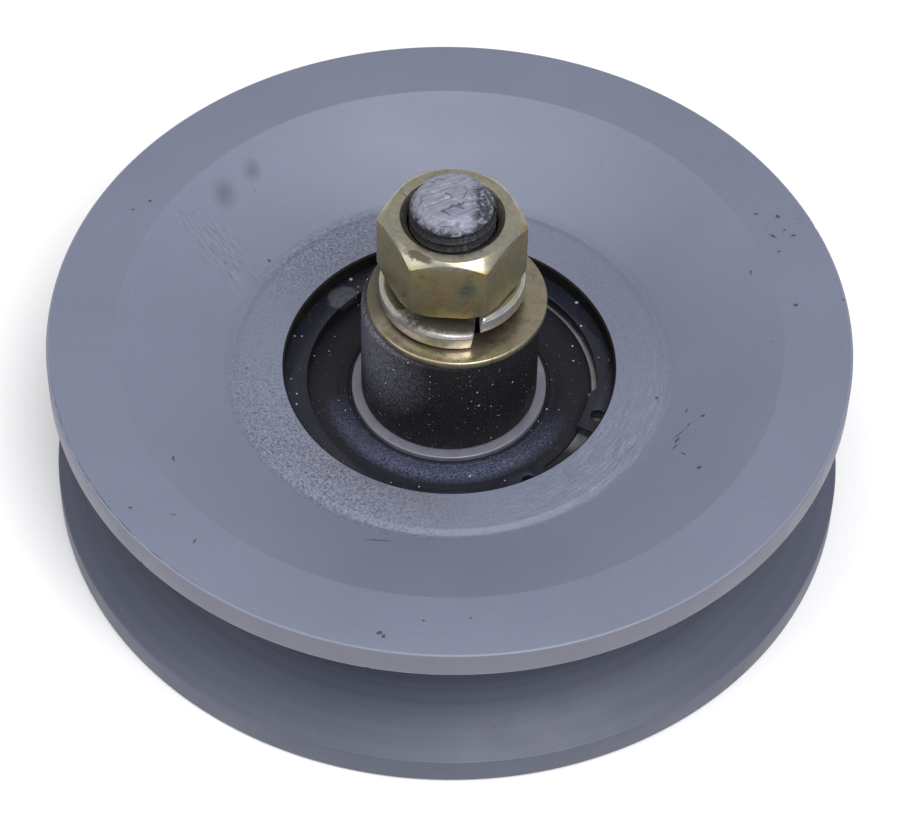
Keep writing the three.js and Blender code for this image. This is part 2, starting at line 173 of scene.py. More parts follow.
class Bench:
    """Edit-mode modelling with Blender's operators. Sizes come in as millimetres."""

    @staticmethod
    def pick(*pieces: bpy.types.Object) -> None:
        """Selects only these pieces, and makes the first one active.

        Args:
            pieces: The pieces.
        """
        bpy.ops.object.select_all(action="DESELECT")
        for piece in pieces:
            piece.select_set(True)
        bpy.context.view_layer.objects.active = pieces[0]

    @staticmethod
    def name_active(name: str) -> bpy.types.Object:
        """Names the active object and its mesh.

        Args:
            name: The new name.

        Returns:
            The object.
        """
        piece = bpy.context.active_object
        piece.name = name
        piece.data.name = name
        return piece

    @classmethod
    def drawn(cls, name: str, outline: list[Point], closed: bool) -> bpy.types.Object:
        """Draws an outline in the XZ plane by extruding one vertex along it.

        Args:
            name: The new object's name.
            outline: Radius and height of each point.
            closed: Whether an edge joins the last point to the first.

        Returns:
            The object, left in edit mode with everything selected.
        """
        bpy.ops.object.select_all(action="DESELECT")
        first_x, first_z = outline[0]
        bpy.ops.mesh.primitive_plane_add(size=MM, location=(first_x * MM, 0, first_z * MM))
        bpy.ops.object.transform_apply(location=True, rotation=True, scale=True)
        piece = cls.name_active(name)
        bpy.ops.object.mode_set(mode="EDIT")
        bpy.ops.mesh.select_all(action="SELECT")
        bpy.ops.mesh.merge(type="CENTER")
        for (x0, z0), (x1, z1) in zip(outline, outline[1:]):
            bpy.ops.mesh.extrude_region_move(
                TRANSFORM_OT_translate={"value": ((x1 - x0) * MM, 0, (z1 - z0) * MM)}
            )
        bpy.ops.mesh.select_all(action="SELECT")
        if closed:
            bpy.ops.object.mode_set(mode="OBJECT")
            for vertex in piece.data.vertices:
                vertex.select = vertex.index in (0, len(outline) - 1)
            for edge in piece.data.edges:
                edge.select = False
            bpy.ops.object.mode_set(mode="EDIT")
            bpy.ops.mesh.edge_face_add()
            bpy.ops.mesh.select_all(action="SELECT")
        return piece

    @classmethod
    def turned(
        cls, name: str, outline: list[Point], steps: int = 192, closed: bool = True
    ) -> bpy.types.Object:
        """Spins an outline about Z into a closed solid.

        Args:
            name: The new object's name.
            outline: Radius and height of each point.
            steps: How many steps the spin takes.
            closed: False when the outline starts and ends on the axis.

        Returns:
            The solid, in object mode.
        """
        piece = cls.drawn(name, outline, closed)
        bpy.ops.mesh.spin(steps=steps, angle=FULL_TURN, center=(0, 0, 0), axis=(0, 0, 1))
        return cls.closed_up(piece)

    @classmethod
    def globe(cls, name: str, radius: float, place: Vector, subdivisions: int) -> bpy.types.Object:
        """Adds a ball.

        Args:
            name: The new object's name.
            radius: The ball's radius.
            place: Its centre in metres.
            subdivisions: How finely its faces are divided.

        Returns:
            The ball.
        """
        bpy.ops.object.select_all(action="DESELECT")
        bpy.ops.mesh.primitive_ico_sphere_add(subdivisions=subdivisions, radius=radius * MM, location=place)
        bpy.ops.object.transform_apply(location=True, rotation=True, scale=True)
        return cls.name_active(name)

    @classmethod
    def closed_up(cls, piece: bpy.types.Object) -> bpy.types.Object:
        """Merges doubles and turns the faces outwards, then leaves edit mode.

        Args:
            piece: The piece, which is in edit mode.

        Returns:
            The same piece, in object mode.
        """
        bpy.ops.mesh.select_all(action="SELECT")
        bpy.ops.mesh.remove_doubles(threshold=0.002 * MM)
        bpy.ops.mesh.normals_make_consistent(inside=False)
        bpy.ops.object.mode_set(mode="OBJECT")
        return piece

    @classmethod
    def apply(cls, piece: bpy.types.Object) -> bpy.types.Object:
        """Applies every modifier of a piece.

        Args:
            piece: The piece.

        Returns:
            The same piece.
        """
        cls.pick(piece)
        for modifier in list(piece.modifiers):
            bpy.ops.object.modifier_apply(modifier=modifier.name)
        return piece

    @classmethod
    def combine(cls, piece: bpy.types.Object, tool: bpy.types.Object, mould: Mould) -> bpy.types.Object:
        """Cuts or intersects a piece with a tool, which is used up.

        Args:
            piece: The piece that is changed.
            tool: The other solid.
            mould: What is done with the two.

        Returns:
            The changed piece.
        """
        modifier = piece.modifiers.new("combine", "BOOLEAN")
        modifier.operation = mould.value
        modifier.object = tool
        modifier.solver = "EXACT"
        cls.apply(piece)
        bpy.data.objects.remove(tool)
        return piece

    @classmethod
    def eased(
        cls, piece: bpy.types.Object, width: float, segments: int = 3, angle: float = 35
    ) -> bpy.types.Object:
        """Rounds every sharp edge.

        Args:
            piece: The piece.
            width: The rounding's width.
            segments: How many faces it has across.
            angle: Edges that turn by less than this, in degrees, stay as they are.

        Returns:
            The same piece.
        """
        modifier = piece.modifiers.new("ease", "BEVEL")
        modifier.width = width * MM
        modifier.segments = segments
        modifier.limit_method = "ANGLE"
        modifier.angle_limit = math.radians(angle)
        return cls.apply(piece)

    @classmethod
    def smooth(cls, piece: bpy.types.Object, angle: float = 30) -> bpy.types.Object:
        """Shades a piece smooth, apart from its sharp edges.

        Args:
            piece: The piece.
            angle: Edges that turn by more than this, in degrees, stay sharp.

        Returns:
            The same piece.
        """
        cls.pick(piece)
        bpy.ops.object.shade_smooth_by_angle(angle=math.radians(angle))
        return piece

    @classmethod
    def moved(
        cls,
        piece: bpy.types.Object,
        shift: Point | Corner = (0, 0, 0),
        turn: float = 0,
        about: str = "Z",
    ) -> bpy.types.Object:
        """Turns a piece's mesh about an axis, then shifts it, and leaves its object at the origin.

        Args:
            piece: The piece.
            shift: How far it moves along X, Y and Z.
            turn: How far it turns first, in degrees.
            about: The axis that it turns about.

        Returns:
            The same piece.
        """
        matrix = Matrix.Translation(Vector(shift) * MM) @ Matrix.Rotation(math.radians(turn), 4, about)
        piece.data.transform(matrix)
        return piece


def finish_piece(
    piece: bpy.types.Object,
    material: bpy.types.Material,
    body: Body | str,
    node: str,
) -> bpy.types.Object:
    """Gives a piece its material and body, and hides the CAD node that it stands for.

    Args:
        piece: The modelled piece.
        material: Its first material.
        body: The body that it rides on, or a ball's body by name.
        node: The CAD node that it replaces.

    Returns:
        The piece.
    """
    if piece.data.materials:
        piece.data.materials[0] = material
    else:
        piece.data.materials.append(material)
    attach(piece, body.value if isinstance(body, Body) else body)
    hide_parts(node)
    LOG.info("%s: %d faces", piece.name, len(piece.data.polygons))
    return piece


# ---- materials ----


@dataclass(frozen=True)
class Mark:
    """A place that is worn or dirty, or that carries painted shade or a highlight, by its angle and radius
    about the axis. Its heading is in degrees from X.
    """

    angle: float
    radius: float
    long: float
    wide: float
    heading: float = 0.0
    height: float = 34.0
    reach: float = 12.0

    def centre(self) -> Corner:
        """Its centre in metres."""
        angle = math.radians(self.angle)
        return (self.radius * math.cos(angle) * MM, self.radius * math.sin(angle) * MM, self.height * MM)


class Desk:
    """A material's node tree, with short calls for the nodes that the finishes use."""

    def __init__(self, name: str) -> None:
        """Makes an empty material with a Principled shader and Object coordinates.

        Args:
            name: The material's name.
        """
        self.material = bpy.data.materials.new(name)
        self.material.use_nodes = True
        self.tree = self.material.node_tree
        self.tree.nodes.clear()
        output = self.tree.nodes.new("ShaderNodeOutputMaterial")
        self.shader = self.tree.nodes.new("ShaderNodeBsdfPrincipled")
        self.tree.links.new(self.shader.outputs[0], output.inputs["Surface"])
        self.place = self.tree.nodes.new("ShaderNodeTexCoord").outputs["Object"]
        self.kept: dict[str, Socket] = {}

    def link(self, value: Socket | float | Colour, socket: Socket) -> None:
        """Links a socket, or sets a number or colour.

        Args:
            value: What the socket gets.
            socket: The input that gets it.
        """
        if isinstance(value, bpy.types.NodeSocket):
            self.tree.links.new(value, socket)
        elif isinstance(value, tuple) and len(value) == 3 and socket.type == "RGBA":
            socket.default_value = (*value, 1.0)
        else:
            socket.default_value = value

    def times(self, *values: Socket | float) -> Socket:
        """Multiplies values.

        Args:
            values: The factors, of which there are at least one.

        Returns:
            Their product.
        """
        product = values[0]
        for value in values[1:]:
            product = self.math("MULTIPLY", product, value)
        return product

    def math(self, operation: str, first: Socket | float, second: Socket | float = 0.0) -> Socket:
        """Adds a Math node.

        Args:
            operation: What the node does.
            first: Its first value.
            second: Its second value.

        Returns:
            The result.
        """
        node = self.tree.nodes.new("ShaderNodeMath")
        node.operation = operation
        self.link(first, node.inputs[0])
        self.link(second, node.inputs[1])
        return node.outputs[0]

    def axis(self, letter: str) -> Socket:
        """Reads one Object coordinate, with nodes that are made once.

        Args:
            letter: X, Y or Z.

        Returns:
            The coordinate in millimetres.
        """
        if letter not in self.kept:
            split = self.tree.nodes.new("ShaderNodeSeparateXYZ")
            self.link(self.place, split.inputs[0])
            self.kept[letter] = self.math("DIVIDE", split.outputs[letter], MM)
        return self.kept[letter]

    def radius(self) -> Socket:
        """Measures from the spin axis, with nodes that are made once.

        Returns:
            The distance in millimetres.
        """
        if "radius" not in self.kept:
            x, y = self.axis("X"), self.axis("Y")
            squares = self.math("ADD", self.math("MULTIPLY", x, x), self.math("MULTIPLY", y, y))
            self.kept["radius"] = self.math("SQRT", squares)
        return self.kept["radius"]

    def window(self, value: Socket, low: float, high: float, soft: float) -> Socket:
        """Masks a band of values.

        Args:
            value: The value.
            low: Where the band starts.
            high: Where it ends.
            soft: Half the width of its soft edges.

        Returns:
            1 inside the band, falling to 0 over the edges.
        """
        rise = self.ranged(value, low - soft, low + soft)
        fall = self.ranged(value, high - soft, high + soft)
        return self.math("SUBTRACT", rise, fall)

    def ranged(
        self, value: Socket, low: float, high: float, to_low: float = 0.0, to_high: float = 1.0
    ) -> Socket:
        """Maps one range on to another, and clamps the result.

        Args:
            value: The value.
            low: The value that gives to_low.
            high: The value that gives to_high.
            to_low: The result at low.
            to_high: The result at high.

        Returns:
            The mapped value.
        """
        node = self.tree.nodes.new("ShaderNodeMapRange")
        node.clamp = True
        for number, socket in zip((value, low, high, to_low, to_high), node.inputs):
            self.link(number, socket)
        return node.outputs[0]

    def noise(
        self, size: float, detail: float = 2.0, rough: float = 0.5, along: Socket | None = None
    ) -> Socket:
        """Adds noise, in 3D or along one value.

        Args:
            size: The size of its features in millimetres.
            detail: How many finer layers are added.
            rough: How strong the finer layers are.
            along: A value in millimetres. The noise changes only with it where it is given.

        Returns:
            The noise, from 0 to 1.
        """
        node = self.tree.nodes.new("ShaderNodeTexNoise")
        node.inputs["Detail"].default_value = detail
        node.inputs["Roughness"].default_value = rough
        if along is None:
            node.inputs["Scale"].default_value = 1 / (size * MM)
            self.link(self.place, node.inputs["Vector"])
        else:
            node.noise_dimensions = "1D"
            node.inputs["Scale"].default_value = 1 / size
            self.link(along, node.inputs["W"])
        return node.outputs["Fac"]

    def specks(self, spacing: float, size: float, share: float) -> Socket:
        """Scattered round specks: 1 inside one, 0 elsewhere.

        Args:
            spacing: Millimetres between the places where a speck may be.
            size: A speck's radius in millimetres.
            share: How many of those places have one, from 0 to 1.

        Returns:
            The mask.
        """
        node = self.tree.nodes.new("ShaderNodeTexVoronoi")
        node.inputs["Scale"].default_value = 1 / (spacing * MM)
        self.link(self.place, node.inputs["Vector"])
        split = self.tree.nodes.new("ShaderNodeSeparateColor")
        self.link(node.outputs["Color"], split.inputs[0])
        chosen = self.math("LESS_THAN", split.outputs[0], share)
        wide = self.math("MULTIPLY", split.outputs[1], size / spacing)
        beyond = self.math("SUBTRACT", node.outputs["Distance"], wide)
        return self.times(self.ranged(beyond, 0.0, 0.1 * size / spacing, 1.0, 0.0), chosen)

    def polar_noise(self, across: float, along: float, detail: float = 3.0, rough: float = 0.6) -> Socket:
        """Noise in strokes that run round the axis.

        Args:
            across: The strokes' width in millimetres.
            along: Their length in radians of turn.
            detail: How many finer layers are added.
            rough: How strong the finer layers are.

        Returns:
            The noise, from 0 to 1.
        """
        x, y, radius = self.axis("X"), self.axis("Y"), self.radius()
        vector = self.tree.nodes.new("ShaderNodeCombineXYZ")
        self.link(self.math("DIVIDE", radius, across), vector.inputs[0])
        self.link(self.math("DIVIDE", self.math("DIVIDE", x, radius), along), vector.inputs[1])
        self.link(self.math("DIVIDE", self.math("DIVIDE", y, radius), along), vector.inputs[2])
        node = self.tree.nodes.new("ShaderNodeTexNoise")
        node.inputs["Scale"].default_value = 1.0
        node.inputs["Detail"].default_value = detail
        node.inputs["Roughness"].default_value = rough
        self.link(vector.outputs[0], node.inputs["Vector"])
        return node.outputs["Fac"]

    def streaks(self, size: float, stretch: Corner, heading: float = 0.0, detail: float = 3.0) -> Socket:
        """Noise pulled out along the axes, after a turn about Z.

        Args:
            size: The size of its features in millimetres.
            stretch: How many times longer they are along X, Y and Z.
            heading: Degrees that the stretched X is turned from X.
            detail: How many finer layers are added.

        Returns:
            The noise, from 0 to 1.
        """
        frame = self.tree.nodes.new("ShaderNodeMapping")
        frame.vector_type = "TEXTURE"
        frame.inputs["Rotation"].default_value = (0, 0, math.radians(heading))
        frame.inputs["Scale"].default_value = tuple(size * MM * times for times in stretch)
        self.link(self.place, frame.inputs["Vector"])
        node = self.tree.nodes.new("ShaderNodeTexNoise")
        node.inputs["Scale"].default_value = 1.0
        node.inputs["Detail"].default_value = detail
        self.link(frame.outputs[0], node.inputs["Vector"])
        return node.outputs["Fac"]

    def marks(self, marks: tuple[Mark, ...], ragged: float = 0.0, soft: float = 0.2) -> Socket:
        """1 inside any of the marks, 0 outside.

        Args:
            marks: The marks.
            ragged: How far, in millimetres, noise may shift their edges.
            soft: The edges' softness as a share of a mark's size.

        Returns:
            The mask.
        """
        noise = self.tree.nodes.new("ShaderNodeTexNoise")
        noise.inputs["Scale"].default_value = 1 / (0.8 * MM)
        self.link(self.place, noise.inputs["Vector"])
        centred = self.tree.nodes.new("ShaderNodeVectorMath")
        centred.operation = "SUBTRACT"
        self.link(noise.outputs["Color"], centred.inputs[0])
        centred.inputs[1].default_value = (0.5, 0.5, 0.5)
        shifted = self.tree.nodes.new("ShaderNodeVectorMath")
        shifted.operation = "MULTIPLY_ADD"
        self.link(centred.outputs[0], shifted.inputs[0])
        shifted.inputs[1].default_value = (2 * ragged * MM,) * 3
        self.link(self.place, shifted.inputs[2])
        nearest = None
        for mark in marks:
            frame = self.tree.nodes.new("ShaderNodeMapping")
            frame.vector_type = "TEXTURE"
            frame.inputs["Location"].default_value = mark.centre()
            frame.inputs["Rotation"].default_value = (0, 0, math.radians(mark.heading))
            frame.inputs["Scale"].default_value = (mark.long / 2 * MM, mark.wide / 2 * MM, mark.reach * MM)
            self.link(shifted.outputs[0], frame.inputs["Vector"])
            length = self.tree.nodes.new("ShaderNodeVectorMath")
            length.operation = "LENGTH"
            self.link(frame.outputs[0], length.inputs[0])
            away = length.outputs["Value"]
            nearest = away if nearest is None else self.math("MINIMUM", nearest, away)
        return self.ranged(nearest, 1 - soft, 1 + soft, 1.0, 0.0)

    def mix(self, share: Socket | float, first: Socket | Colour, second: Socket | Colour) -> Socket:
        """Mixes two colours.

        Args:
            share: How much of the second colour there is, from 0 to 1.
            first: The first colour.
            second: The second colour.

        Returns:
            The mixed colour.
        """
        node = self.tree.nodes.new("ShaderNodeMix")
        node.data_type = "RGBA"
        self.link(share, node.inputs["Factor"])
        self.link(first, node.inputs[6])
        self.link(second, node.inputs[7])
        return node.outputs[2]

    def ramp(self, value: Socket, stops: list[tuple[float, Colour]]) -> Socket:
        """Turns a value into a colour.

        Args:
            value: The value, from 0 to 1.
            stops: Places on the ramp, in order, with their colours.

        Returns:
            The colour.
        """
        node = self.tree.nodes.new("ShaderNodeValToRGB")
        elements = node.color_ramp.elements
        while len(elements) < len(stops):
            elements.new(0.5)
        for element, (place, colour) in zip(elements, stops):
            element.position = place
            element.color = (*colour, 1.0)
        self.link(value, node.inputs[0])
        return node.outputs[0]

    def bump(
        self, height: Socket, distance: float, strength: float = 1.0, normal: Socket | None = None
    ) -> Socket:
        """Raises a surface's relief.

        Args:
            height: The relief.
            distance: How many millimetres a height of 1 stands for.
            strength: The share of the relief that shows, from 0 to 1.
            normal: A normal that already has a relief.

        Returns:
            The new normal.
        """
        node = self.tree.nodes.new("ShaderNodeBump")
        node.inputs["Strength"].default_value = strength
        node.inputs["Distance"].default_value = distance * MM
        self.link(height, node.inputs["Height"])
        if normal is not None:
            self.link(normal, node.inputs["Normal"])
        return node.outputs[0]

    def surface(
        self,
        colour: Socket | Colour,
        roughness: Socket | float,
        metallic: Socket | float = 0.0,
        normal: Socket | None = None,
        gloss: float = 0.5,
    ) -> bpy.types.Material:
        """Sets the shader's main sockets.

        Args:
            colour: The base colour.
            roughness: The roughness.
            metallic: The metallic share.
            normal: The normal, where there is a relief.
            gloss: The level of the gloss on what isn't metal.

        Returns:
            The material.
        """
        self.shader.inputs["Specular IOR Level"].default_value = gloss
        self.link(colour, self.shader.inputs["Base Color"])
        self.link(roughness, self.shader.inputs["Roughness"])
        self.link(metallic, self.shader.inputs["Metallic"])
        if normal is not None:
            self.link(normal, self.shader.inputs["Normal"])
        return self.material


class Zone(Enum):
    """The wheel's painted surfaces, with the radii between which each lies."""

    BOSS = (0.0, 42.9)
    DISH = (42.9, 62.35)
    LAND = (62.35, 80.0)
    GROOVE = (0.0, 80.0)


@dataclass(frozen=True)
class SprayPaint:
    """Blue-grey spray paint over turned metal, with grain, overspray, brush strokes, dirt and chips, painted
    shade in the groove and on the dish's right, and a painted highlight along the rim's top edge.
    """

    name: str
    zone: Zone
    colour: Colour = (0.128, 0.143, 0.200)
    pale: Colour = (0.215, 0.228, 0.315)
    dark: Colour = (0.052, 0.056, 0.082)
    warm: Colour = (0.104, 0.100, 0.120)
    dirt: Colour = (0.016, 0.015, 0.020)
    shaded: Colour = (0.122, 0.137, 0.208)
    roughness: float = 0.44
    dish_gain: float = 0.10
    # How much darker the groove zone is painted: painted shade under the upper rim.
    groove_shade: float = 0.46
    chips: tuple[Mark, ...] = (
        Mark(26, 69.4, 1.0, 0.8),
        Mark(28, 66.0, 0.9, 0.6),
        Mark(23, 69.0, 0.7, 0.5),
        Mark(21.5, 69.9, 1.1, 0.6),
        Mark(22.5, 66.2, 1.5, 0.5, -40),
        Mark(19, 65.7, 0.6, 0.5),
        Mark(7, 65.2, 0.8, 0.7),
        Mark(7.3, 74.4, 0.6, 0.6),
        Mark(17, 59.4, 0.5, 0.5),
        Mark(16.5, 59.2, 0.5, 0.4),
        Mark(-17, 49.2, 0.8, 0.7),
        Mark(-32, 53.9, 0.9, 0.7),
        Mark(152, 65.8, 0.7, 0.7),
        Mark(155, 67.6, 0.6, 0.5),
        Mark(145, 42.9, 0.8, 0.7),
        Mark(-148, 58.4, 0.4, 1.6, 12),
        Mark(-99, 71.0, 1.0, 0.9),
        Mark(-98.3, 71.6, 0.7, 0.8),
        Mark(-93, 67.4, 0.5, 0.4),
        Mark(-86, 66.6, 0.4, 0.4),
        Mark(-142, 71.4, 0.8, 0.6),
    )
    scratches: tuple[Mark, ...] = (
        Mark(-105.5, 45.2, 4.6, 0.30, 4),
        Mark(-22.5, 46.2, 3.0, 0.25, 38),
        Mark(-24.5, 46.4, 1.6, 0.45, 55),
        Mark(-26.5, 46.8, 1.4, 0.35, 42),
        Mark(-28.5, 49.2, 1.3, 0.22, -55),
        Mark(-19.5, 47.2, 0.9, 0.3, 60),
        Mark(-15, 45.8, 1.2, 0.25, 70),
        Mark(-137, 66.3, 1.4, 0.2, -10),
        Mark(-131, 67.6, 1.2, 0.3, 65),
    )
    smudges: tuple[Mark, ...] = (Mark(141, 56.9, 3.2, 4.4), Mark(133, 57.4, 2.4, 3.2))
    pitted: tuple[Mark, ...] = (
        Mark(-22, 47.5, 8.5, 4.0, 70),
        Mark(22, 67.5, 9, 6, -60),
        Mark(24, 73, 5, 3, -65),
    )
    scuffed: tuple[Mark, ...] = (Mark(152, 50.5, 18, 8, -42),)
    left_dark_edge: tuple[Mark, ...] = (Mark(-147, 74.6, 62, 22, -57),)
    near_left: tuple[Mark, ...] = (Mark(-135, 36, 52, 26, -45),)
    far_left: tuple[Mark, ...] = (Mark(130, 37, 26, 16, 40),)
    brushed: tuple[Mark, ...] = (Mark(-38, 37, 46, 20, 52),)
    lip: tuple[Mark, ...] = (Mark(-115, 31, 34, 9, -25),)
    # Painted shade on the right of the dish, which faces away from the key light.
    right_dish_shade: tuple[Mark, ...] = (Mark(-18, 54, 58, 26, 72),)

    def make(self) -> bpy.types.Material:
        """Builds the material for its zone.

        Returns:
            The material.
        """
        desk = Desk(f"{self.name}_{self.zone.name.lower()}")
        grain = desk.noise(0.42, 3, 0.65)
        along = desk.math("ADD", desk.radius(), desk.times(desk.axis("Z"), 1.7))
        lathe = desk.noise(0.6, 2, 0.7, along)
        colour = self.toned(desk, grain, lathe)
        height = desk.math("ADD", desk.times(lathe, 0.010), desk.times(grain, 0.010))
        layers = {Zone.BOSS: self.boss_layers, Zone.DISH: self.dish_layers, Zone.LAND: self.land_layers}
        if self.zone in layers:
            colour, extra = layers[self.zone](desk, colour)
            height = desk.math("ADD", height, desk.times(extra, 0.020))
        colour, damage = self.damaged(desk, colour)
        height = desk.math("SUBTRACT", height, desk.times(damage, 0.05))
        rough = desk.ranged(desk.noise(9, 3), 0.3, 0.7, self.roughness - 0.05, self.roughness + 0.06)
        return desk.surface(colour, rough, 0.0, desk.bump(height, 1.0))

    def near(self, marks: tuple[Mark, ...]) -> tuple[Mark, ...]:
        """Picks the marks that lie in this zone.

        Args:
            marks: All the marks of a kind.

        Returns:
            Those that this zone's surface reaches.
        """
        inner, outer = self.zone.value
        return tuple(mark for mark in marks if inner - 1 < mark.radius < outer + 1)

    def toned(self, desk: Desk, grain: Socket, lathe: Socket) -> Socket:
        """Mixes the paint's colour, with clouds, grain and the lathe's lines.

        Args:
            desk: The material's desk.
            grain: The paint's fine grain.
            lathe: The lathe's lines.

        Returns:
            The colour.
        """
        strength = 0.13 if self.zone is Zone.GROOVE else 0.035
        # The groove zone (the groove, the lower rim and the underside) gets the bluer shaded colour, scaled
        # well down: painted shade under the upper rim.
        gain = {Zone.DISH: 1 + self.dish_gain, Zone.GROOVE: 1 - self.groove_shade}.get(self.zone, 1.0)
        cloudy = desk.ranged(desk.noise(32, 3), 0.3, 0.7, 0.955 * gain, 1.045 * gain)
        tone = desk.times(cloudy, desk.ranged(grain, 0.25, 0.75, 0.945, 1.055))
        tone = desk.times(tone, desk.ranged(lathe, 0.2, 0.8, 1 - strength, 1 + strength))
        shade = desk.tree.nodes.new("ShaderNodeVectorMath")
        shade.operation = "SCALE"
        shade.inputs[0].default_value = self.shaded if self.zone is Zone.GROOVE else self.colour
        desk.link(tone, shade.inputs["Scale"])
        return shade.outputs[0]

    def land_layers(self, desk: Desk, colour: Socket) -> tuple[Socket, Socket]:
        """Adds a warmer rim, a broken dark line along its upper edge that shows on the left, a painted
        highlight on the rounded top edge, and a rubbed lower edge.

        Args:
            desk: The material's desk.
            colour: The colour so far.

        Returns:
            The new colour, and the relief that goes with it.
        """
        radius, height = desk.radius(), desk.axis("Z")
        colour = desk.mix(desk.ranged(radius, 74.6, 74.95, 0.0, 0.55), colour, self.warm)
        broken = desk.ranged(desk.polar_noise(60, 0.05, 5, 0.7), 0.40, 0.55)
        line = desk.times(desk.window(radius, 74.40, 74.62, 0.08), desk.ranged(height, 37.9, 38.2), broken)
        # The broken dark line is kept to the left side.
        left = desk.marks(self.left_dark_edge, 1.0, 0.2)
        colour = desk.mix(desk.times(line, left, 0.75), colour, self.dirt)
        # A painted highlight: a pale line along the rounded top edge.
        corner = desk.times(desk.window(radius, 74.55, 74.9, 0.08), desk.ranged(height, 37.9, 38.1))
        colour = desk.mix(desk.times(corner, 0.45), colour, self.pale)
        lightened = desk.times(desk.window(height, 32.75, 33.1, 0.1), desk.ranged(radius, 74.4, 74.8), 0.5)
        return desk.mix(lightened, colour, self.pale), broken

    def boss_layers(self, desk: Desk, colour: Socket) -> tuple[Socket, Socket]:
        """Adds grains round the bore, a warmer lip where the coat is thinner, and curved strokes.

        Args:
            desk: The material's desk.
            colour: The colour so far.

        Returns:
            The new colour, and the relief that goes with it.
        """
        boss = desk.window(desk.radius(), 30.5, 42.6, 2.2)
        left = desk.marks(self.near_left + self.far_left, 3.0, 0.5)
        amount = desk.times(boss, desk.ranged(left, 0.0, 1.0, 0.22, 1.0))
        fine = desk.noise(0.5, 2, 0.8)
        colour = desk.mix(desk.times(desk.marks(self.lip, 2.0, 0.4), 0.6), colour, self.warm)
        colour = desk.mix(desk.times(desk.ranged(fine, 0.54, 0.64), amount, 0.75), colour, self.pale)
        colour = desk.mix(desk.times(desk.ranged(fine, 0.47, 0.38), amount, 0.95), colour, self.dark)
        strokes = desk.polar_noise(0.36, 0.10, 4, 0.8)
        patch = desk.times(boss, desk.marks(self.brushed, 3.0, 0.5))
        colour = desk.mix(desk.times(desk.ranged(strokes, 0.53, 0.66), patch, 0.75), colour, self.pale)
        colour = desk.mix(desk.times(desk.ranged(strokes, 0.46, 0.36), patch, 0.55), colour, self.dark)
        return colour, desk.math("ADD", desk.times(fine, amount), desk.times(strokes, patch))

    def dish_layers(self, desk: Desk, colour: Socket) -> tuple[Socket, Socket]:
        """Adds diagonal scuffs, soot, and painted shade on the right of the dish, which faces away from the
        key light.

        Args:
            desk: The material's desk.
            colour: The colour so far.

        Returns:
            The new colour, and the relief that goes with it.
        """
        scuffs = desk.streaks(0.45, (11, 1, 3), -42, 4)
        patch = desk.marks(self.scuffed, 2.5, 0.5)
        colour = desk.mix(desk.times(desk.ranged(scuffs, 0.56, 0.68), patch, 0.45), colour, self.pale)
        colour = desk.mix(desk.times(desk.ranged(scuffs, 0.46, 0.36), patch, 0.40), colour, self.dark)
        colour = desk.mix(desk.times(desk.marks(self.smudges, 0.4, 0.8), 0.42), colour, self.dirt)
        # Painted shade: the right of the dish is darkened.
        colour = desk.mix(desk.times(desk.marks(self.right_dish_shade, 2.0, 0.7), 0.16), colour, self.dark)
        return colour, desk.times(scuffs, patch)

    def damaged(self, desk: Desk, colour: Socket) -> tuple[Socket, Socket]:
        """Adds chips, scratches, pits and specks.

        Args:
            desk: The material's desk.
            colour: The colour so far.

        Returns:
            The new colour, and the mask of what has lost its paint.
        """
        loss = desk.math("MAXIMUM", desk.specks(5.5, 0.42, 0.10), desk.specks(2.4, 0.17, 0.05))
        chips, scratches, pitted = self.near(self.chips), self.near(self.scratches), self.near(self.pitted)
        if self.zone is not Zone.GROOVE:
            loss = desk.math("MAXIMUM", loss, desk.marks(chips, 0.35, 0.25))
            if scratches:
                loss = desk.math("MAXIMUM", loss, desk.marks(scratches, 0.10, 0.3))
            if pitted:
                pits = desk.ranged(desk.noise(0.5, 3, 0.7), 0.63, 0.70)
                loss = desk.math("MAXIMUM", loss, desk.times(desk.marks(pitted, 1.5, 0.4), pits))
        return desk.mix(desk.times(loss, 0.82), colour, self.dirt), loss


@dataclass(frozen=True)
class Steel:
    """Bare or plated steel with cloudy colour and fine marks."""

    name: str
    colour: Colour
    other: Colour
    roughness: float
    metallic: float = 1.0
    cloud: float = 5.0
    grain: float = 0.25
    relief: float = 0.004
    turned: float = 0.0
    gloss: float = 0.5
    soil_and_shade: tuple[Mark, ...] = ()
    soil_and_shade_colour: Colour = (0.012, 0.011, 0.012)

    def make(self) -> bpy.types.Material:
        """Builds the material.

        Returns:
            The material.
        """
        desk = Desk(self.name)
        colour = desk.mix(desk.ranged(desk.noise(self.cloud, 4, 0.6), 0.35, 0.65), self.colour, self.other)
        grain = desk.noise(self.grain, 3, 0.7)
        clouds = desk.noise(self.cloud * 0.6, 4)
        rough = desk.ranged(clouds, 0.3, 0.7, self.roughness * 0.8, self.roughness * 1.25)
        relief = desk.bump(grain, self.relief)
        if self.turned > 0:
            rings = desk.polar_noise(0.25, 0.5, 3, 0.6)
            colour = desk.mix(desk.times(desk.ranged(rings, 0.4, 0.65), 0.25), colour, self.other)
            relief = desk.bump(rings, self.turned, 0.6, relief)
        # Darker patches. On the outer ring this is painted shade where it shows through the circlip's gap.
        if self.soil_and_shade:
            soil_and_shade_mask = desk.times(desk.marks(self.soil_and_shade, 0.4, 0.3), 0.9)
            colour = desk.mix(soil_and_shade_mask, colour, self.soil_and_shade_colour)
        return desk.surface(colour, rough, self.metallic, relief, self.gloss)


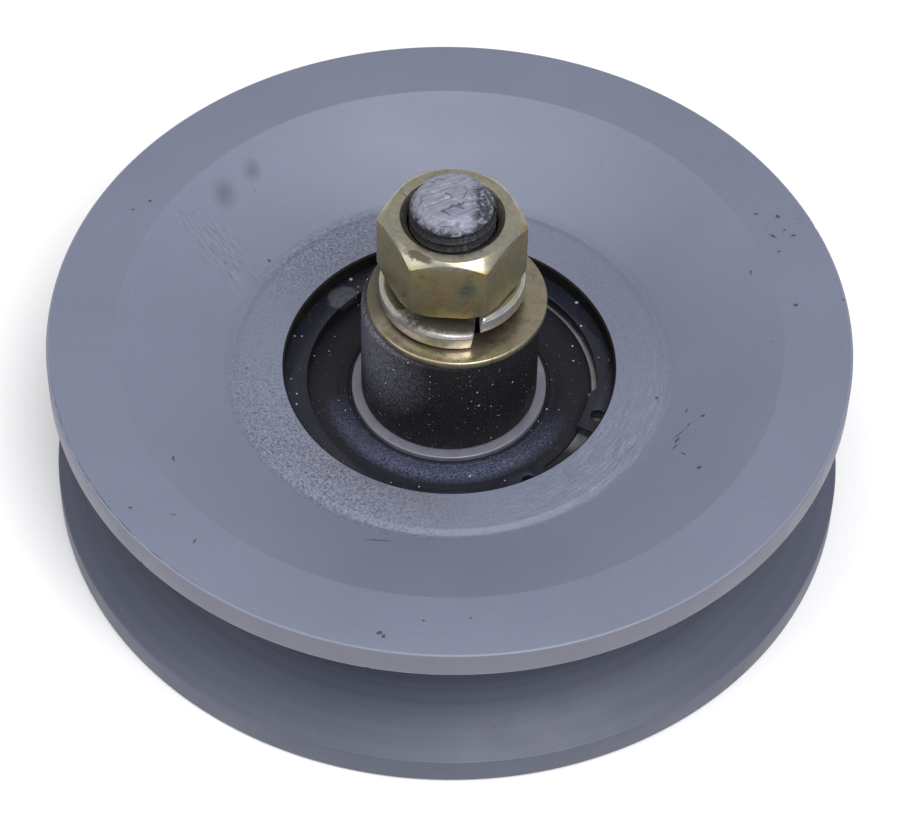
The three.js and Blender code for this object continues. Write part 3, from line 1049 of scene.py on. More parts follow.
@dataclass(frozen=True)
class Blackened:
    """Near-black phosphate or rubber with a light dusting of paint specks."""

    name: str
    colour: Colour
    dust: Colour = (0.155, 0.170, 0.235)
    speck: Colour = (0.42, 0.44, 0.50)
    roughness: float = 0.5
    metallic: float = 0.0
    dusting: float = 0.3
    grain: float = 0.02
    drifts: tuple[Mark, ...] = ()
    drift_ring: Point = (0.0, 1000.0)
    drift_share: float = 0.75
    peppered: float = 0.25
    worn: tuple[Mark, ...] = ()
    worn_colour: Colour = (0.10, 0.105, 0.125)
    gloss: float = 0.2

    def make(self) -> bpy.types.Material:
        """Builds the material.

        Returns:
            The material.
        """
        desk = Desk(self.name)
        grain = desk.noise(0.32, 4, 0.75)
        fine = desk.times(desk.ranged(grain, 0.52, 0.72), self.dusting)
        colour = desk.mix(fine, self.colour, self.dust)
        if self.drifts:
            ring = desk.window(desk.radius(), *self.drift_ring, 1.0)
            patch = desk.times(desk.marks(self.drifts, 1.5, 0.6), ring)
            drift = desk.times(patch, desk.ranged(grain, 0.38, 0.62), self.drift_share)
            colour = desk.mix(drift, colour, self.dust)
        if self.worn:
            ragged = desk.ranged(desk.noise(1.2, 4, 0.7), 0.3, 0.5)
            patch = desk.times(desk.marks(self.worn, 0.5, 0.12), ragged, 0.85)
            colour = desk.mix(patch, colour, self.worn_colour)
        colour = desk.mix(desk.specks(1.3, 0.20, 0.30), colour, self.speck)
        colour = desk.mix(desk.times(desk.specks(0.6, 0.11, 0.30), self.peppered), colour, self.speck)
        colour = desk.mix(desk.times(desk.specks(4.0, 0.42, 0.16), 0.8), colour, self.speck)
        rough = desk.ranged(desk.noise(3, 3), 0.3, 0.7, self.roughness - 0.08, self.roughness + 0.1)
        return desk.surface(colour, rough, self.metallic, desk.bump(grain, self.grain, 0.8), self.gloss)


@dataclass(frozen=True)
class WornThread:
    """Blackened thread steel, worn along its crests, with a scraped and creased end."""

    name: str
    colour: Colour = (0.012, 0.012, 0.016)
    crest: Colour = (0.105, 0.105, 0.125)
    scraped: Colour = (0.170, 0.177, 0.232)
    polished: Colour = (0.280, 0.290, 0.360)
    crease: Colour = (0.018, 0.019, 0.028)
    crest_radius: float = 7.74
    end_height: float = 71.6
    worn_above: float = 50.0

    def make(self) -> bpy.types.Material:
        """Builds the material.

        Returns:
            The material.
        """
        desk = Desk(self.name)
        radius, height = desk.radius(), desk.axis("Z")
        fine = desk.noise(0.35, 4, 0.8)
        crest = desk.times(desk.ranged(radius, self.crest_radius, self.crest_radius + 0.1), 0.7)
        high = desk.ranged(height, self.worn_above, self.worn_above + 1)
        colour = desk.mix(desk.times(crest, desk.ranged(fine, 0.45, 0.6), high), self.colour, self.crest)
        colour = desk.mix(desk.times(desk.ranged(fine, 0.62, 0.70), high, 0.5), colour, self.crest)
        ragged = desk.math("ADD", height, desk.ranged(desk.noise(1.6, 4, 0.7), 0.25, 0.75, -0.7, 0.7))
        end = desk.ranged(ragged, self.end_height, self.end_height + 0.35)
        strokes = desk.streaks(0.6, (7, 1, 2), 24, 3)
        top = desk.mix(desk.ranged(strokes, 0.34, 0.66), self.scraped, self.polished)
        top = desk.mix(desk.ranged(desk.noise(3.5, 2), 0.45, 0.62, 0.0, 0.35), top, self.scraped)
        folds = desk.noise(4.2, 1, 0.4)
        folds = desk.times(desk.ranged(folds, 0.470, 0.492), desk.ranged(folds, 0.516, 0.500))
        folds = desk.times(folds, desk.ranged(desk.noise(2.0, 3), 0.46, 0.54), 0.7)
        right = desk.ranged(desk.math("ADD", desk.axis("X"), desk.times(fine, 2.0)), 4.0, 5.6)
        lower = desk.ranged(desk.math("ADD", height, desk.times(fine, 0.8)), 73.5, 72.4)
        pitted = desk.math("MAXIMUM", right, lower)
        pits = desk.times(pitted, desk.ranged(desk.noise(1.1, 4, 0.75), 0.42, 0.52))
        cuts = desk.math("MAXIMUM", folds, pits)
        top = desk.mix(desk.times(cuts, 0.9), top, self.crease)
        colour = desk.mix(end, colour, top)
        rough = desk.ranged(fine, 0.3, 0.7, 0.40, 0.60)
        metal = desk.ranged(end, 0.0, 1.0, 0.0, 0.35)
        relief = desk.math("ADD", desk.times(strokes, 0.02), desk.times(fine, 0.02))
        relief = desk.math("SUBTRACT", relief, desk.times(cuts, 0.06))
        return desk.surface(colour, rough, metal, desk.bump(relief, 1.0), 0.25)


@dataclass(frozen=True)
class ZincPlate:
    """Zinc plate whose passivated tint drifts between a few colours, with grime, spots, dirty or shaded
    patches and an optional painted sheen above a height.
    """

    name: str
    tints: tuple[Colour, ...]
    roughness: float = 0.24
    metallic: float = 0.92
    soil_and_shade_metallic: float = 0.05
    drift: float = 6.0
    stretch: Corner = (1.0, 1.0, 1.0)
    grime: float = 0.5
    grime_colour: Colour = (0.055, 0.047, 0.028)
    spots: tuple[Mark, ...] = ()
    spot_colour: Colour = (0.13, 0.17, 0.14)
    soil_and_shade: tuple[Mark, ...] = ()
    soil_and_shade_colour: Colour = (0.060, 0.047, 0.026)
    # A painted sheen: above this height the plate turns paler and greyer.
    painted_sheen_above: float | None = None
    painted_sheen_colour: Colour = (0.37, 0.355, 0.295)

    def make(self) -> bpy.types.Material:
        """Builds the material.

        Returns:
            The material.
        """
        desk = Desk(self.name)
        drift = desk.streaks(self.drift, self.stretch, 0, 4)
        step = 0.40 / (len(self.tints) - 1)
        colour = desk.ramp(drift, [(0.30 + step * index, tint) for index, tint in enumerate(self.tints)])
        if self.spots:
            colour = desk.mix(desk.times(desk.marks(self.spots, 0.6, 0.6), 0.8), colour, self.spot_colour)
        # Painted sheen on the top: paler and greyer above a height, standing in for the pale room's
        # reflection and the chamfer's highlight.
        if self.painted_sheen_above is not None:
            cloudy = desk.ranged(desk.noise(3.0, 4, 0.7), 0.36, 0.54, 0.45, 1.0)
            lightened = desk.ranged(desk.axis("Z"), self.painted_sheen_above, self.painted_sheen_above + 0.7)
            colour = desk.mix(desk.times(lightened, cloudy), colour, self.painted_sheen_colour)
        grime = desk.ranged(desk.noise(1.6, 5, 0.75), 0.52, 0.70)
        colour = desk.mix(desk.times(grime, self.grime), colour, self.grime_colour)
        metal = self.metallic
        clouds = desk.noise(2.0, 4, 0.7)
        rough = desk.ranged(clouds, 0.3, 0.7, self.roughness * 0.75, self.roughness * 1.45)
        # Darker, rougher, less metallic patches: dirt on the nut, dirt with painted shadow from the nut on
        # the split washer, and painted shade on the flat washer's left.
        if self.soil_and_shade:
            gritty = desk.ranged(desk.noise(0.5, 4, 0.8), 0.22, 0.36)
            patch = desk.times(desk.marks(self.soil_and_shade, 0.7, 0.3), gritty)
            colour = desk.mix(desk.times(patch, 0.95), colour, self.soil_and_shade_colour)
            metal = desk.ranged(patch, 0.0, 1.0, self.metallic, self.soil_and_shade_metallic)
            rough = desk.math("ADD", rough, desk.times(patch, 0.42))
        colour = desk.mix(desk.times(desk.specks(1.5, 0.09, 0.10), 0.8), colour, self.grime_colour)
        relief = desk.bump(desk.noise(0.5, 3, 0.6), 0.008)
        relief = desk.bump(desk.noise(2.5, 2, 0.5), 0.03, 0.6, relief)
        return desk.surface(colour, rough, metal, relief)


class Finishes:
    """Every finish on the idler, made once."""

    def __init__(self) -> None:
        """Builds the materials."""
        self.paint = {zone: SprayPaint("blue_grey_paint", zone).make() for zone in Zone}
        # Near-black, non-metallic bore wall: painted shade in the recess between the lip and the circlip.
        self.bore = Steel(
            "dark_bore", (0.008, 0.007, 0.007), (0.016, 0.014, 0.013), 0.6, 0.0, gloss=0.15
        ).make()
        self.outer = Steel(
            "outer_steel_gap_shade",
            (0.17, 0.168, 0.175),
            (0.30, 0.295, 0.30),
            0.38,
            0.8,
            turned=0.006,
            # Painted shade on the outer ring inside the circlip's gap.
            soil_and_shade=(Mark(-47, 28.4, 16, 7, 43, 22.9, 5),),
        ).make()
        self.bearing = Steel(
            "ground_steel", (0.150, 0.155, 0.195), (0.20, 0.20, 0.245), 0.48, 0.45, turned=0.006
        ).make()
        self.ball = Steel("polished_steel", (0.60, 0.61, 0.63), (0.66, 0.66, 0.68), 0.07, cloud=3).make()
        self.pressed = Steel("drawn_steel", (0.42, 0.42, 0.41), (0.50, 0.49, 0.47), 0.36).make()
        self.rubber = Blackened(
            "moulded_rubber",
            (0.007, 0.007, 0.011),
            dust=(0.125, 0.140, 0.235),
            roughness=0.5,
            dusting=0.10,
            peppered=0.35,
            drifts=(Mark(-96, 20, 50, 24, -4, 22.5, 6),),
            drift_ring=(19.7, 23.6),
        ).make()
        self.clip = Blackened(
            "clip_phosphate",
            (0.009, 0.010, 0.017),
            roughness=0.42,
            metallic=0.0,
            dusting=0.12,
            peppered=0.2,
            gloss=0.28,
            worn=(Mark(138, 28.2, 6.0, 5.0, 48, 25.2, 3),),
            worn_colour=(0.068, 0.072, 0.088),
        ).make()
        self.black = Blackened(
            "black_phosphate",
            (0.009, 0.008, 0.009),
            roughness=0.5,
            dusting=0.2,
            grain=0.05,
            peppered=0.8,
            drifts=(Mark(-152, 16.6, 19, 17, 0, 40, 9),),
            dust=(0.200, 0.204, 0.255),
            drift_share=0.9,
        ).make()
        self.thread = WornThread("worn_thread").make()
        self.nut = ZincPlate(
            "passivated_nut",
            ((0.305, 0.262, 0.100), (0.370, 0.290, 0.115), (0.320, 0.285, 0.150), (0.390, 0.280, 0.130)),
            0.29,
            drift=5.0,
            stretch=(1, 1, 3),
            grime=0.35,
            spots=(Mark(-77, 12.2, 3.0, 2.0, 0, 62.5, 1.6),),
            soil_and_shade=(Mark(-120, 11.4, 6, 1.6, -32, 69.0, 1.2),),
            # Painted sheen on the top and its chamfer.
            painted_sheen_above=67.4,
        ).make()
        self.yellow = ZincPlate(
            "passivated_washer",
            ((0.255, 0.230, 0.150), (0.335, 0.290, 0.190), (0.330, 0.290, 0.225), (0.275, 0.215, 0.140)),
            0.29,
            grime=0.4,
            # Painted shade: the washer is darker on the left, standing in for a darker reflection there.
            soil_and_shade=(Mark(172, 14.5, 20, 9, 90, 47.7, 3),),
            soil_and_shade_colour=(0.070, 0.061, 0.040),
        ).make()
        self.bright = ZincPlate(
            "silvery_zinc",
            ((0.46, 0.48, 0.44), (0.54, 0.53, 0.42), (0.50, 0.50, 0.50), (0.52, 0.45, 0.40)),
            0.17,
            drift=7.0,
            grime=0.25,
            # Dirt together with painted shadow from the nut on the low end's top.
            soil_and_shade=(Mark(-100, 10.2, 19, 5.6, -6, 51.3, 1.0),),
            soil_and_shade_colour=(0.026, 0.020, 0.010),
        ).make()
        self.sheared = Steel(
            "sheared_zinc", (0.30, 0.31, 0.285), (0.40, 0.405, 0.36), 0.55, 0.25, cloud=1.5
        ).make()


# ---- sub-assemblies ----


@dataclass
class Pulley:
    """The grooved wheel, turned from one casting."""

    rim_land: float = 5.5
    face_width: float = 12.7
    groove_depth: float = 20
    flank_angle: float = 18
    boss_width: float = 8.1
    relief_width: float = 2.7
    relief_depth: float = 0.5
    lip_chamfer: float = 0.4
    clip_groove: float = 1.5
    groove_ease: float = 0.1
    shoulder_height: float = 5.8
    shoulder_thickness: float = 3
    shoulder_lip: float = 4
    lower_boss: float = 9
    lower_dish: float = 7
    lower_run: float = 8
    boss_over_clip: float = 3.3
    bare_over_clip: float = 3.2
    paint_overlap: float = 0.8
    upper_half: float = 32.6
    nicks: tuple[tuple[float, Edge, float], ...] = (
        (22, Edge.TOP, 0.75),
        (20.4, Edge.TOP, 0.6),
        (24, Edge.TOP, 0.4),
        (28, Edge.TOP, 0.35),
        (7, Edge.TOP, 0.35),
        (-82, Edge.TOP, 0.4),
        (-91.5, Edge.TOP, 0.5),
        (-131, Edge.TOP, 0.45),
        (-143, Edge.TOP, 0.35),
        (-149.5, Edge.TOP, 0.5),
        (-156, Edge.TOP, 0.4),
        (171, Edge.TOP, 0.4),
        (-100, Edge.UNDER, 0.4),
        (-136, Edge.UNDER, 0.5),
        (-58, Edge.UNDER, 0.4),
    )

    def outline(self) -> list[Point]:
        """Draws the wheel's half section, from the shoulder's bore outwards.

        Returns:
            The outline's points.
        """
        low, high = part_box("pulley_body")
        rim, width = high.x / MM, (high.z - low.z) / MM
        clip_low, clip_high = (corner.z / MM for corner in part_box("retaining_ring"))
        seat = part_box("bearing_outer_ring")[1].x / MM + self.groove_ease
        boss = clip_high + self.groove_ease + self.boss_over_clip
        drop = self.groove_depth * math.tan(math.radians(self.flank_angle))
        floor = rim - self.groove_depth
        face = rim - self.face_width
        lip = seat + self.lip_chamfer
        ring = lip + self.boss_width
        bore = seat - self.shoulder_lip
        hub = self.shoulder_height - self.shoulder_thickness
        return rounded(
            [
                (bore, hub, 0.5),
                (bore + self.lower_boss, hub, 0.9),
                (bore + self.lower_boss + self.lower_run, self.lower_dish, 4.0),
                (face, 0, 0.4),
                (rim, 0, 0.45),
                (rim, self.rim_land, 0.4),
                (floor, self.rim_land + drop, 2.0),
                (floor, width - self.rim_land - drop, 2.0),
                (rim, width - self.rim_land, 0.4),
                (rim, width, 0.45),
                (face, width, 0.35),
                (ring + self.relief_width, boss, 0.5),
                (ring + self.relief_width / 2, boss - self.relief_depth, 0.9),
                (ring, boss, 0.5),
                (lip, boss, 0.25),
                (seat, boss - self.lip_chamfer, 0),
                (seat, clip_high + self.groove_ease, 0),
                (seat + self.clip_groove, clip_high + self.groove_ease, 0),
                (seat + self.clip_groove, clip_low - self.groove_ease, 0),
                (seat, clip_low - self.groove_ease, 0),
                (seat, self.shoulder_height, 0.3),
                (bore, self.shoulder_height, 0.3),
            ]
        )

    def build(self, finishes: Finishes) -> None:
        """Spins the wheel and paints it, apart from the bore that the bearing sits in.

        Args:
            finishes: The idler's materials.
        """
        wheel = Bench.turned("pulley", self.outline(), steps=256)
        paints = [Zone.GROOVE, Zone.BOSS, Zone.DISH, Zone.LAND]
        for zone in paints:
            wheel.data.materials.append(finishes.paint[zone])
        wheel.data.materials.append(finishes.bore)
        self.nicked(wheel)
        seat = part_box("bearing_outer_ring")[1].x / MM + self.groove_ease + self.lip_chamfer / 2
        bare_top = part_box("retaining_ring")[1].z / MM + self.bare_over_clip
        outer_zones = (Zone.BOSS, Zone.DISH)
        for face in wheel.data.polygons:
            radius, height = math.hypot(face.center.x, face.center.y) / MM, face.center.z / MM
            inside = radius < seat + self.clip_groove
            upper = height > self.upper_half or radius < Zone.DISH.value[1]
            if inside and self.shoulder_height - 0.1 < height < bare_top:
                face.material_index = len(paints)
            elif height > bare_top - self.paint_overlap and upper:
                face.material_index = 1 + sum(radius > zone.value[1] for zone in outer_zones)
            else:
                face.material_index = 0
        Bench.smooth(wheel, 25)
        finish_piece(wheel, finishes.paint[Zone.GROOVE], Body.PULLEY, "pulley_body")

    def nicked(self, wheel: bpy.types.Object) -> None:
        """Knocks small nicks out of the upper rim's two edges.

        Args:
            wheel: The wheel.
        """
        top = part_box("pulley_body")[1]
        rim, upper = top.x / MM, top.z / MM
        under = upper - self.rim_land
        tools = []
        for angle, edge, size in self.nicks:
            turn = math.radians(angle)
            height = upper if edge is Edge.TOP else under
            place = Vector((math.cos(turn) * (rim + 0.15), math.sin(turn) * (rim + 0.15), height + 0.1))
            tools.append(Bench.globe("nick", size, place * MM, 3))
        Bench.pick(*tools)
        bpy.ops.object.join()
        tool = Bench.name_active("nick_tool")
        for vertex in tool.data.vertices:
            vertex.co += noise.noise_vector(vertex.co * 1400) * 0.28 * MM
        Bench.combine(wheel, tool, Mould.CUT)


@dataclass
class RetainingRing:
    """The circlip, with a plier hole in each lug."""

    band: float = 4.9
    offset: float = 0.7
    lug_reach: float = 5.6
    lug_hole: float = 1.35
    gap_half_angle: float = 12.6
    hole_angle: float = 20.4
    lug_half_angle: float = 34
    lug_slope: float = 3
    edge: float = 0.18
    gap_direction: float = -38.6

    def build(self, finishes: Finishes) -> None:
        """Draws the ring's outline, fills and thickens it, then drills the lugs.

        Args:
            finishes: The idler's materials.
        """
        low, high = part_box("retaining_ring")
        outer = (high.x - low.x) / 2 / MM
        thickness = (high.z - low.z) / MM
        inner, lug = outer - self.band, outer - self.lug_reach
        gap, ends = self.gap_half_angle, self.lug_half_angle
        outline = arc((0, 0), outer, gap, 360 - gap, 180)
        outline += arc((0, 0), lug, 360 - gap, 360 - ends + self.lug_slope, 12)
        outline += arc((self.offset, 0), inner, 360 - ends, ends, 150)
        outline += arc((0, 0), lug, ends - self.lug_slope, gap, 12)
        ring = Bench.drawn("circlip", outline, closed=True)
        bpy.ops.mesh.edge_face_add()
        bpy.ops.mesh.extrude_region_move(TRANSFORM_OT_translate={"value": (0, thickness * MM, 0)})
        Bench.closed_up(ring)
        Bench.moved(ring, turn=90, about="X")
        hole = (outer + lug) / 2
        for side in (1, -1):
            angle = math.radians(side * self.hole_angle)
            bpy.ops.mesh.primitive_cylinder_add(
                vertices=40,
                radius=self.lug_hole * MM,
                depth=3 * thickness * MM,
                location=(hole * math.cos(angle) * MM, hole * math.sin(angle) * MM, 0),
            )
            Bench.combine(ring, bpy.context.active_object, Mould.CUT)
        Bench.eased(ring, self.edge, 2, 50)
        bottom = min(vertex.co.z for vertex in ring.data.vertices)
        Bench.moved(ring, (0, 0, low.z / MM - bottom / MM), self.gap_direction)
        Bench.smooth(ring, 30)
        finish_piece(ring, finishes.clip, Body.PULLEY, "retaining_ring")


@dataclass
class Bearing:
    """The sealed ball bearing. Heights are from its middle plane."""

    balls: int = 7
    ball_radius: float = 5.75
    bore: float = 12.5
    edge: float = 0.9
    inner_edge: float = 0.3
    pitch: float = 21.75
    raceway: float = 6.0
    inner_shoulder: float = 18.45
    outer_shoulder: float = 26.2
    seal_seat: float = 27.0
    seal_depth: float = 0.4
    rubber: float = 0.65
    insert: float = 0.4

    def __post_init__(self) -> None:
        """Reads the bearing's size and place from the frame."""
        low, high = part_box("bearing_outer_ring")
        self.outside = high.x / MM
        self.half_width = (high.z - low.z) / 2 / MM
        self.middle = (high.z + low.z) / 2 / MM

    def build(self, finishes: Finishes) -> None:
        """Makes the rings, the seals and the balls.

        Args:
            finishes: The idler's materials.
        """
        self.rings(finishes)
        self.seals(finishes)
        self.rolling(finishes)

    def groove(self, shoulder: float, middle: float) -> list[Point]:
        """Draws a raceway's arc between its shoulders, about the ball's centre.

        Args:
            shoulder: The radius of the ring's shoulders.
            middle: The angle of the raceway's floor, in degrees.

        Returns:
            The arc's points.
        """
        spread = math.degrees(math.acos(abs(shoulder - self.pitch) / self.raceway))
        return arc((self.pitch, 0), self.raceway, middle + spread, middle - spread, 16)

    def rings(self, finishes: Finishes) -> None:
        """Turns both rings.

        Args:
            finishes: The idler's materials.
        """
        face = self.half_width
        slot, slot_high, slot_low = self.seal_seat + 0.65, face - 0.55, face - 1.5
        outer = rounded(
            [
                (self.seal_seat, -face, 0.15),
                (self.outside, -face, self.edge),
                (self.outside, face, self.edge),
                (self.seal_seat, face, 0.15),
                (self.seal_seat, slot_high, 0),
                (slot, slot_high, 0),
                (slot, slot_low, 0),
                (self.outer_shoulder, slot_low, 0),
            ]
        )
        outer += self.groove(self.outer_shoulder, 0)
        outer += [
            (self.outer_shoulder, -slot_low),
            (slot, -slot_low),
            (slot, -slot_high),
            (self.seal_seat, -slot_high),
        ]
        ring = Bench.moved(Bench.turned("outer_ring", outer), (0, 0, self.middle))
        Bench.smooth(ring, 25)
        finish_piece(ring, finishes.outer, Body.PULLEY, "bearing_outer_ring")
        inner = rounded(
            [
                (self.bore, -face, 0.6),
                (self.inner_shoulder, -face, self.inner_edge),
                (self.inner_shoulder, face, self.inner_edge),
                (self.bore, face, 0.6),
            ]
        )
        lower_half = len(inner) // 2
        inner = inner[:lower_half] + self.groove(self.inner_shoulder, 180) + inner[lower_half:]
        ring = Bench.moved(Bench.turned("inner_ring", inner), (0, 0, self.middle))
        Bench.smooth(ring, 25)
        finish_piece(ring, finishes.bearing, Body.AXLE, "bearing_inner_ring")

    def seals(self, finishes: Finishes) -> None:
        """Turns each seal's rubber and insert, and flips the lower ones over.

        Args:
            finishes: The idler's materials.
        """
        face = self.half_width
        top = face - self.seal_depth
        low = top - self.rubber
        bead_low, bead_high = top - 0.8, top - 0.3
        lip = self.inner_shoulder + 0.3
        sunk = top - 0.42
        neck = self.seal_seat - 0.3
        rubber = rounded(
            [
                (lip - 0.18, low, 0.05),
                (neck - 0.8, low, 0),
                (neck - 0.8, bead_low, 0),
                (self.seal_seat + 0.45, bead_low, 0.1),
                (self.seal_seat + 0.45, bead_high, 0.1),
                (neck, bead_high, 0),
                (neck, top, 0.2),
                (lip + 2.6, top, 1.2),
                (lip + 1.2, sunk + 0.1, 0.3),
                (lip + 0.9, sunk + 0.22, 0.1),
                (lip + 0.5, sunk + 0.22, 0.1),
                (lip + 0.3, sunk, 0.05),
                (lip - 0.18, sunk, 0.08),
            ],
            steps=3,
        )
        insert_high = low - 0.05
        insert = rounded(
            [
                (lip + 0.6, insert_high - self.insert, 0.1),
                (neck - 1.1, insert_high - self.insert, 0.1),
                (neck - 1.1, insert_high, 0.1),
                (lip + 0.6, insert_high, 0.1),
            ],
            steps=2,
        )
        for side, turn in (("upper", 0), ("lower", 180)):
            for part, outline, material, slot in (
                ("rubber", rubber, finishes.rubber, Slot.RUBBER),
                ("insert", insert, finishes.pressed, Slot.PRESSED),
            ):
                seal = Bench.turned(f"{side}_{part}", outline)
                Bench.moved(seal, (0, 0, self.middle), turn, "X")
                Bench.smooth(seal, 25)
                finish_piece(seal, material, Body.PULLEY, f"{side}_seal_{part}")

    def rolling(self, finishes: Finishes) -> None:
        """Makes the balls.

        Args:
            finishes: The idler's materials.
        """
        for count in range(1, self.balls + 1):
            node = f"bearing_ball_{count}"
            low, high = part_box(node)
            ball = Bench.globe(f"ball_{count}", self.ball_radius, (low + high) / 2, 4)
            Bench.smooth(ball, 40)
            finish_piece(ball, finishes.ball, f"ball_{count}", node)


@dataclass
class AxleStack:
    """Bolt, stepped bush, washers and nut."""

    spigot: float = 12.4
    bush_bore: float = 8.3
    washer_bore: float = 9.5
    pitch: float = 2.0
    thread_turns: int = 7
    thread_depth: float = 1.1
    crest: float = 7.85
    head_height: float = 4.0
    end_run: float = 3.0
    end_radius: float = 5.9
    split_inner: float = 8.5
    split_outer: float = 13.5
    split_rise: float = 3.5
    split_angle: float = 7.6
    split_direction: float = -64.6
    split_skew: float = 26.0
    split_lean: float = 8.5
    split_end: float = 0.1
    nut_flats: float = 12.0
    nut_facing: float = -92.5
    nut_face: float = 11.45
    nut_chamfer: float = 42.0
    nut_foot: float = 12.35
    nut_bore: float = 8.25
    nut_sink: float = 1.3
    nut_rounding: float = 0.55

    def build(self, finishes: Finishes) -> None:
        """Makes the five pieces.

        Args:
            finishes: The idler's materials.
        """
        self.bush(finishes)
        self.bolt(finishes)
        self.washer(finishes)
        self.spring_washer(finishes)
        self.nut(finishes)

    def bush(self, finishes: Finishes) -> None:
        """Turns the bush: a spigot in the bearing's bore and a collar on its inner ring.

        Args:
            finishes: The idler's materials.
        """
        low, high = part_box("stepped_bush")
        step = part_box("bearing_inner_ring")[1].z / MM + 0.05
        collar = high.x / MM
        outline = rounded(
            [
                (self.bush_bore, low.z / MM, 0.3),
                (self.spigot, low.z / MM, 0.6),
                (self.spigot, step, 0),
                (collar, step, 0.5),
                (collar, high.z / MM, 0.7),
                (self.bush_bore, high.z / MM, 0.4),
            ]
        )
        bush = Bench.smooth(Bench.turned("bush", outline), 25)
        finish_piece(bush, finishes.black, Body.AXLE, "stepped_bush")

    def bolt(self, finishes: Finishes) -> None:
        """Turns the bolt, mills the head's flats, cuts the thread and batters the end.

        Args:
            finishes: The idler's materials.
        """
        low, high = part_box("axle_bolt")
        head, flats = high.x / MM, (high.y - low.y) / 2 / MM
        under, tip = low.z / MM, high.z / MM
        head_top = under + self.head_height
        start = tip - self.end_run
        outline = rounded(
            [
                (0, under, 0),
                (head, under, 0.7),
                (head, head_top, 0.5),
                (self.crest, head_top, 0.5),
                (self.crest, start, 0.3),
                (self.end_radius, tip - 0.05, 0.4),
                (0, tip, 0),
            ],
            closed=False,
        )
        outline = self.finer(outline, start + 0.1, 0.35)
        bolt = Bench.turned("bolt", outline, steps=128, closed=False)
        for side in (1, -1):
            bpy.ops.object.select_all(action="DESELECT")
            reach = 2 * (head - flats) * MM
            centre = (0, side * (flats * MM + reach / 2), (under + self.head_height / 2) * MM)
            bpy.ops.mesh.primitive_cube_add(size=1, location=centre)
            tool = bpy.context.active_object
            tool.scale = (3 * head * MM, reach, 3 * self.head_height * MM)
            Bench.combine(bolt, tool, Mould.CUT)
        foot = start + self.pitch * 0.1 - self.thread_turns * self.pitch
        Bench.combine(bolt, self.thread_tool(self.crest, foot), Mould.CUT)
        self.battered(bolt, start)
        Bench.smooth(bolt, 40)
        finish_piece(bolt, finishes.thread, Body.AXLE, "axle_bolt")

    def finer(self, outline: list[Point], above: float, step: float) -> list[Point]:
        """Adds points along the stretches of an outline that lie above a height.

        Args:
            outline: The outline.
            above: The height in millimetres.
            step: The longest stretch that is left.

        Returns:
            The finer outline.
        """
        points = [outline[0]]
        for (x0, z0), (x1, z1) in zip(outline, outline[1:]):
            count = max(1, math.ceil(math.hypot(x1 - x0, z1 - z0) / step)) if min(z0, z1) > above else 1
            points += [(x0 + (x1 - x0) * i / count, z0 + (z1 - z0) * i / count) for i in range(1, count + 1)]
        return points

    def battered(self, bolt: bpy.types.Object, start: float) -> None:
        """Dents the bolt's end with folds and pits that only go inwards.

        Args:
            bolt: The bolt.
            start: Where the end's taper starts, in millimetres.
        """
        for vertex in bolt.data.vertices:
            share = min(1.0, max(0.0, (vertex.co.z / MM - start + 0.3) / 0.8))
            if share <= 0:
                continue
            where = vertex.co / MM
            fold = 1 - abs(noise.noise(where * 0.33 + Vector((3.1, 7.7, 0.4))))
            lump = noise.noise(where * 0.55 + Vector((0.0, 4.0, 9.0)))
            pit = noise.noise(where * 2.6)
            depth = 0.28 * fold**18 + 0.09 * (lump + 0.5) + 0.035 * (pit + 0.6)
            inward = Vector((vertex.co.x, vertex.co.y, 0)).normalized() * 0.5
            inward.z = 0.8
            vertex.co -= inward * depth * share * MM

    def thread_tool(self, radius: float, start: float) -> bpy.types.Object:
        """Makes the helical cutter for the thread.

        Args:
            radius: The thread's outer radius.
            start: The height of the helix's lower end.

        Returns:
            The cutter.
        """
        out, half = 0.4, self.pitch * 0.44
        wider = half * (1 + out / self.thread_depth)
        section = [
            (radius - self.thread_depth, start - 0.12),
            (radius + out, start - wider),
            (radius + out, start + wider),
            (radius - self.thread_depth, start + 0.12),
        ]
        tool = Bench.drawn("thread_tool", section, closed=True)
        bpy.ops.mesh.edge_face_add()
        bpy.ops.object.mode_set(mode="OBJECT")
        screw = tool.modifiers.new("screw", "SCREW")
        screw.axis = "Z"
        screw.screw_offset = self.pitch * MM
        screw.iterations = self.thread_turns
        screw.steps = 64
        screw.use_merge_vertices = False
        Bench.apply(tool)
        bpy.ops.object.mode_set(mode="EDIT")
        bpy.ops.mesh.select_all(action="DESELECT")
        bpy.ops.mesh.select_non_manifold()
        bpy.ops.mesh.edge_face_add()
        return Bench.closed_up(tool)

    def washer(self, finishes: Finishes) -> None:
        """Turns the flat washer, and shifts it to its own place beside the axis.

        Args:
            finishes: The idler's materials.
        """
        low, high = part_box("flat_washer")
        outer, shift = (high.x - low.x) / 2 / MM, (high.x + low.x) / 2 / MM
        outline = rounded(
            [
                (self.washer_bore, low.z / MM, 0.2),
                (outer, low.z / MM, 0.3),
                (outer, high.z / MM, 0.4),
                (self.washer_bore, high.z / MM, 0.4),
            ],
            steps=5,
        )
        washer = Bench.moved(Bench.turned("washer", outline), (shift, 0, 0))
        Bench.smooth(washer, 30)
        finish_piece(washer, finishes.yellow, Body.AXLE, "flat_washer")

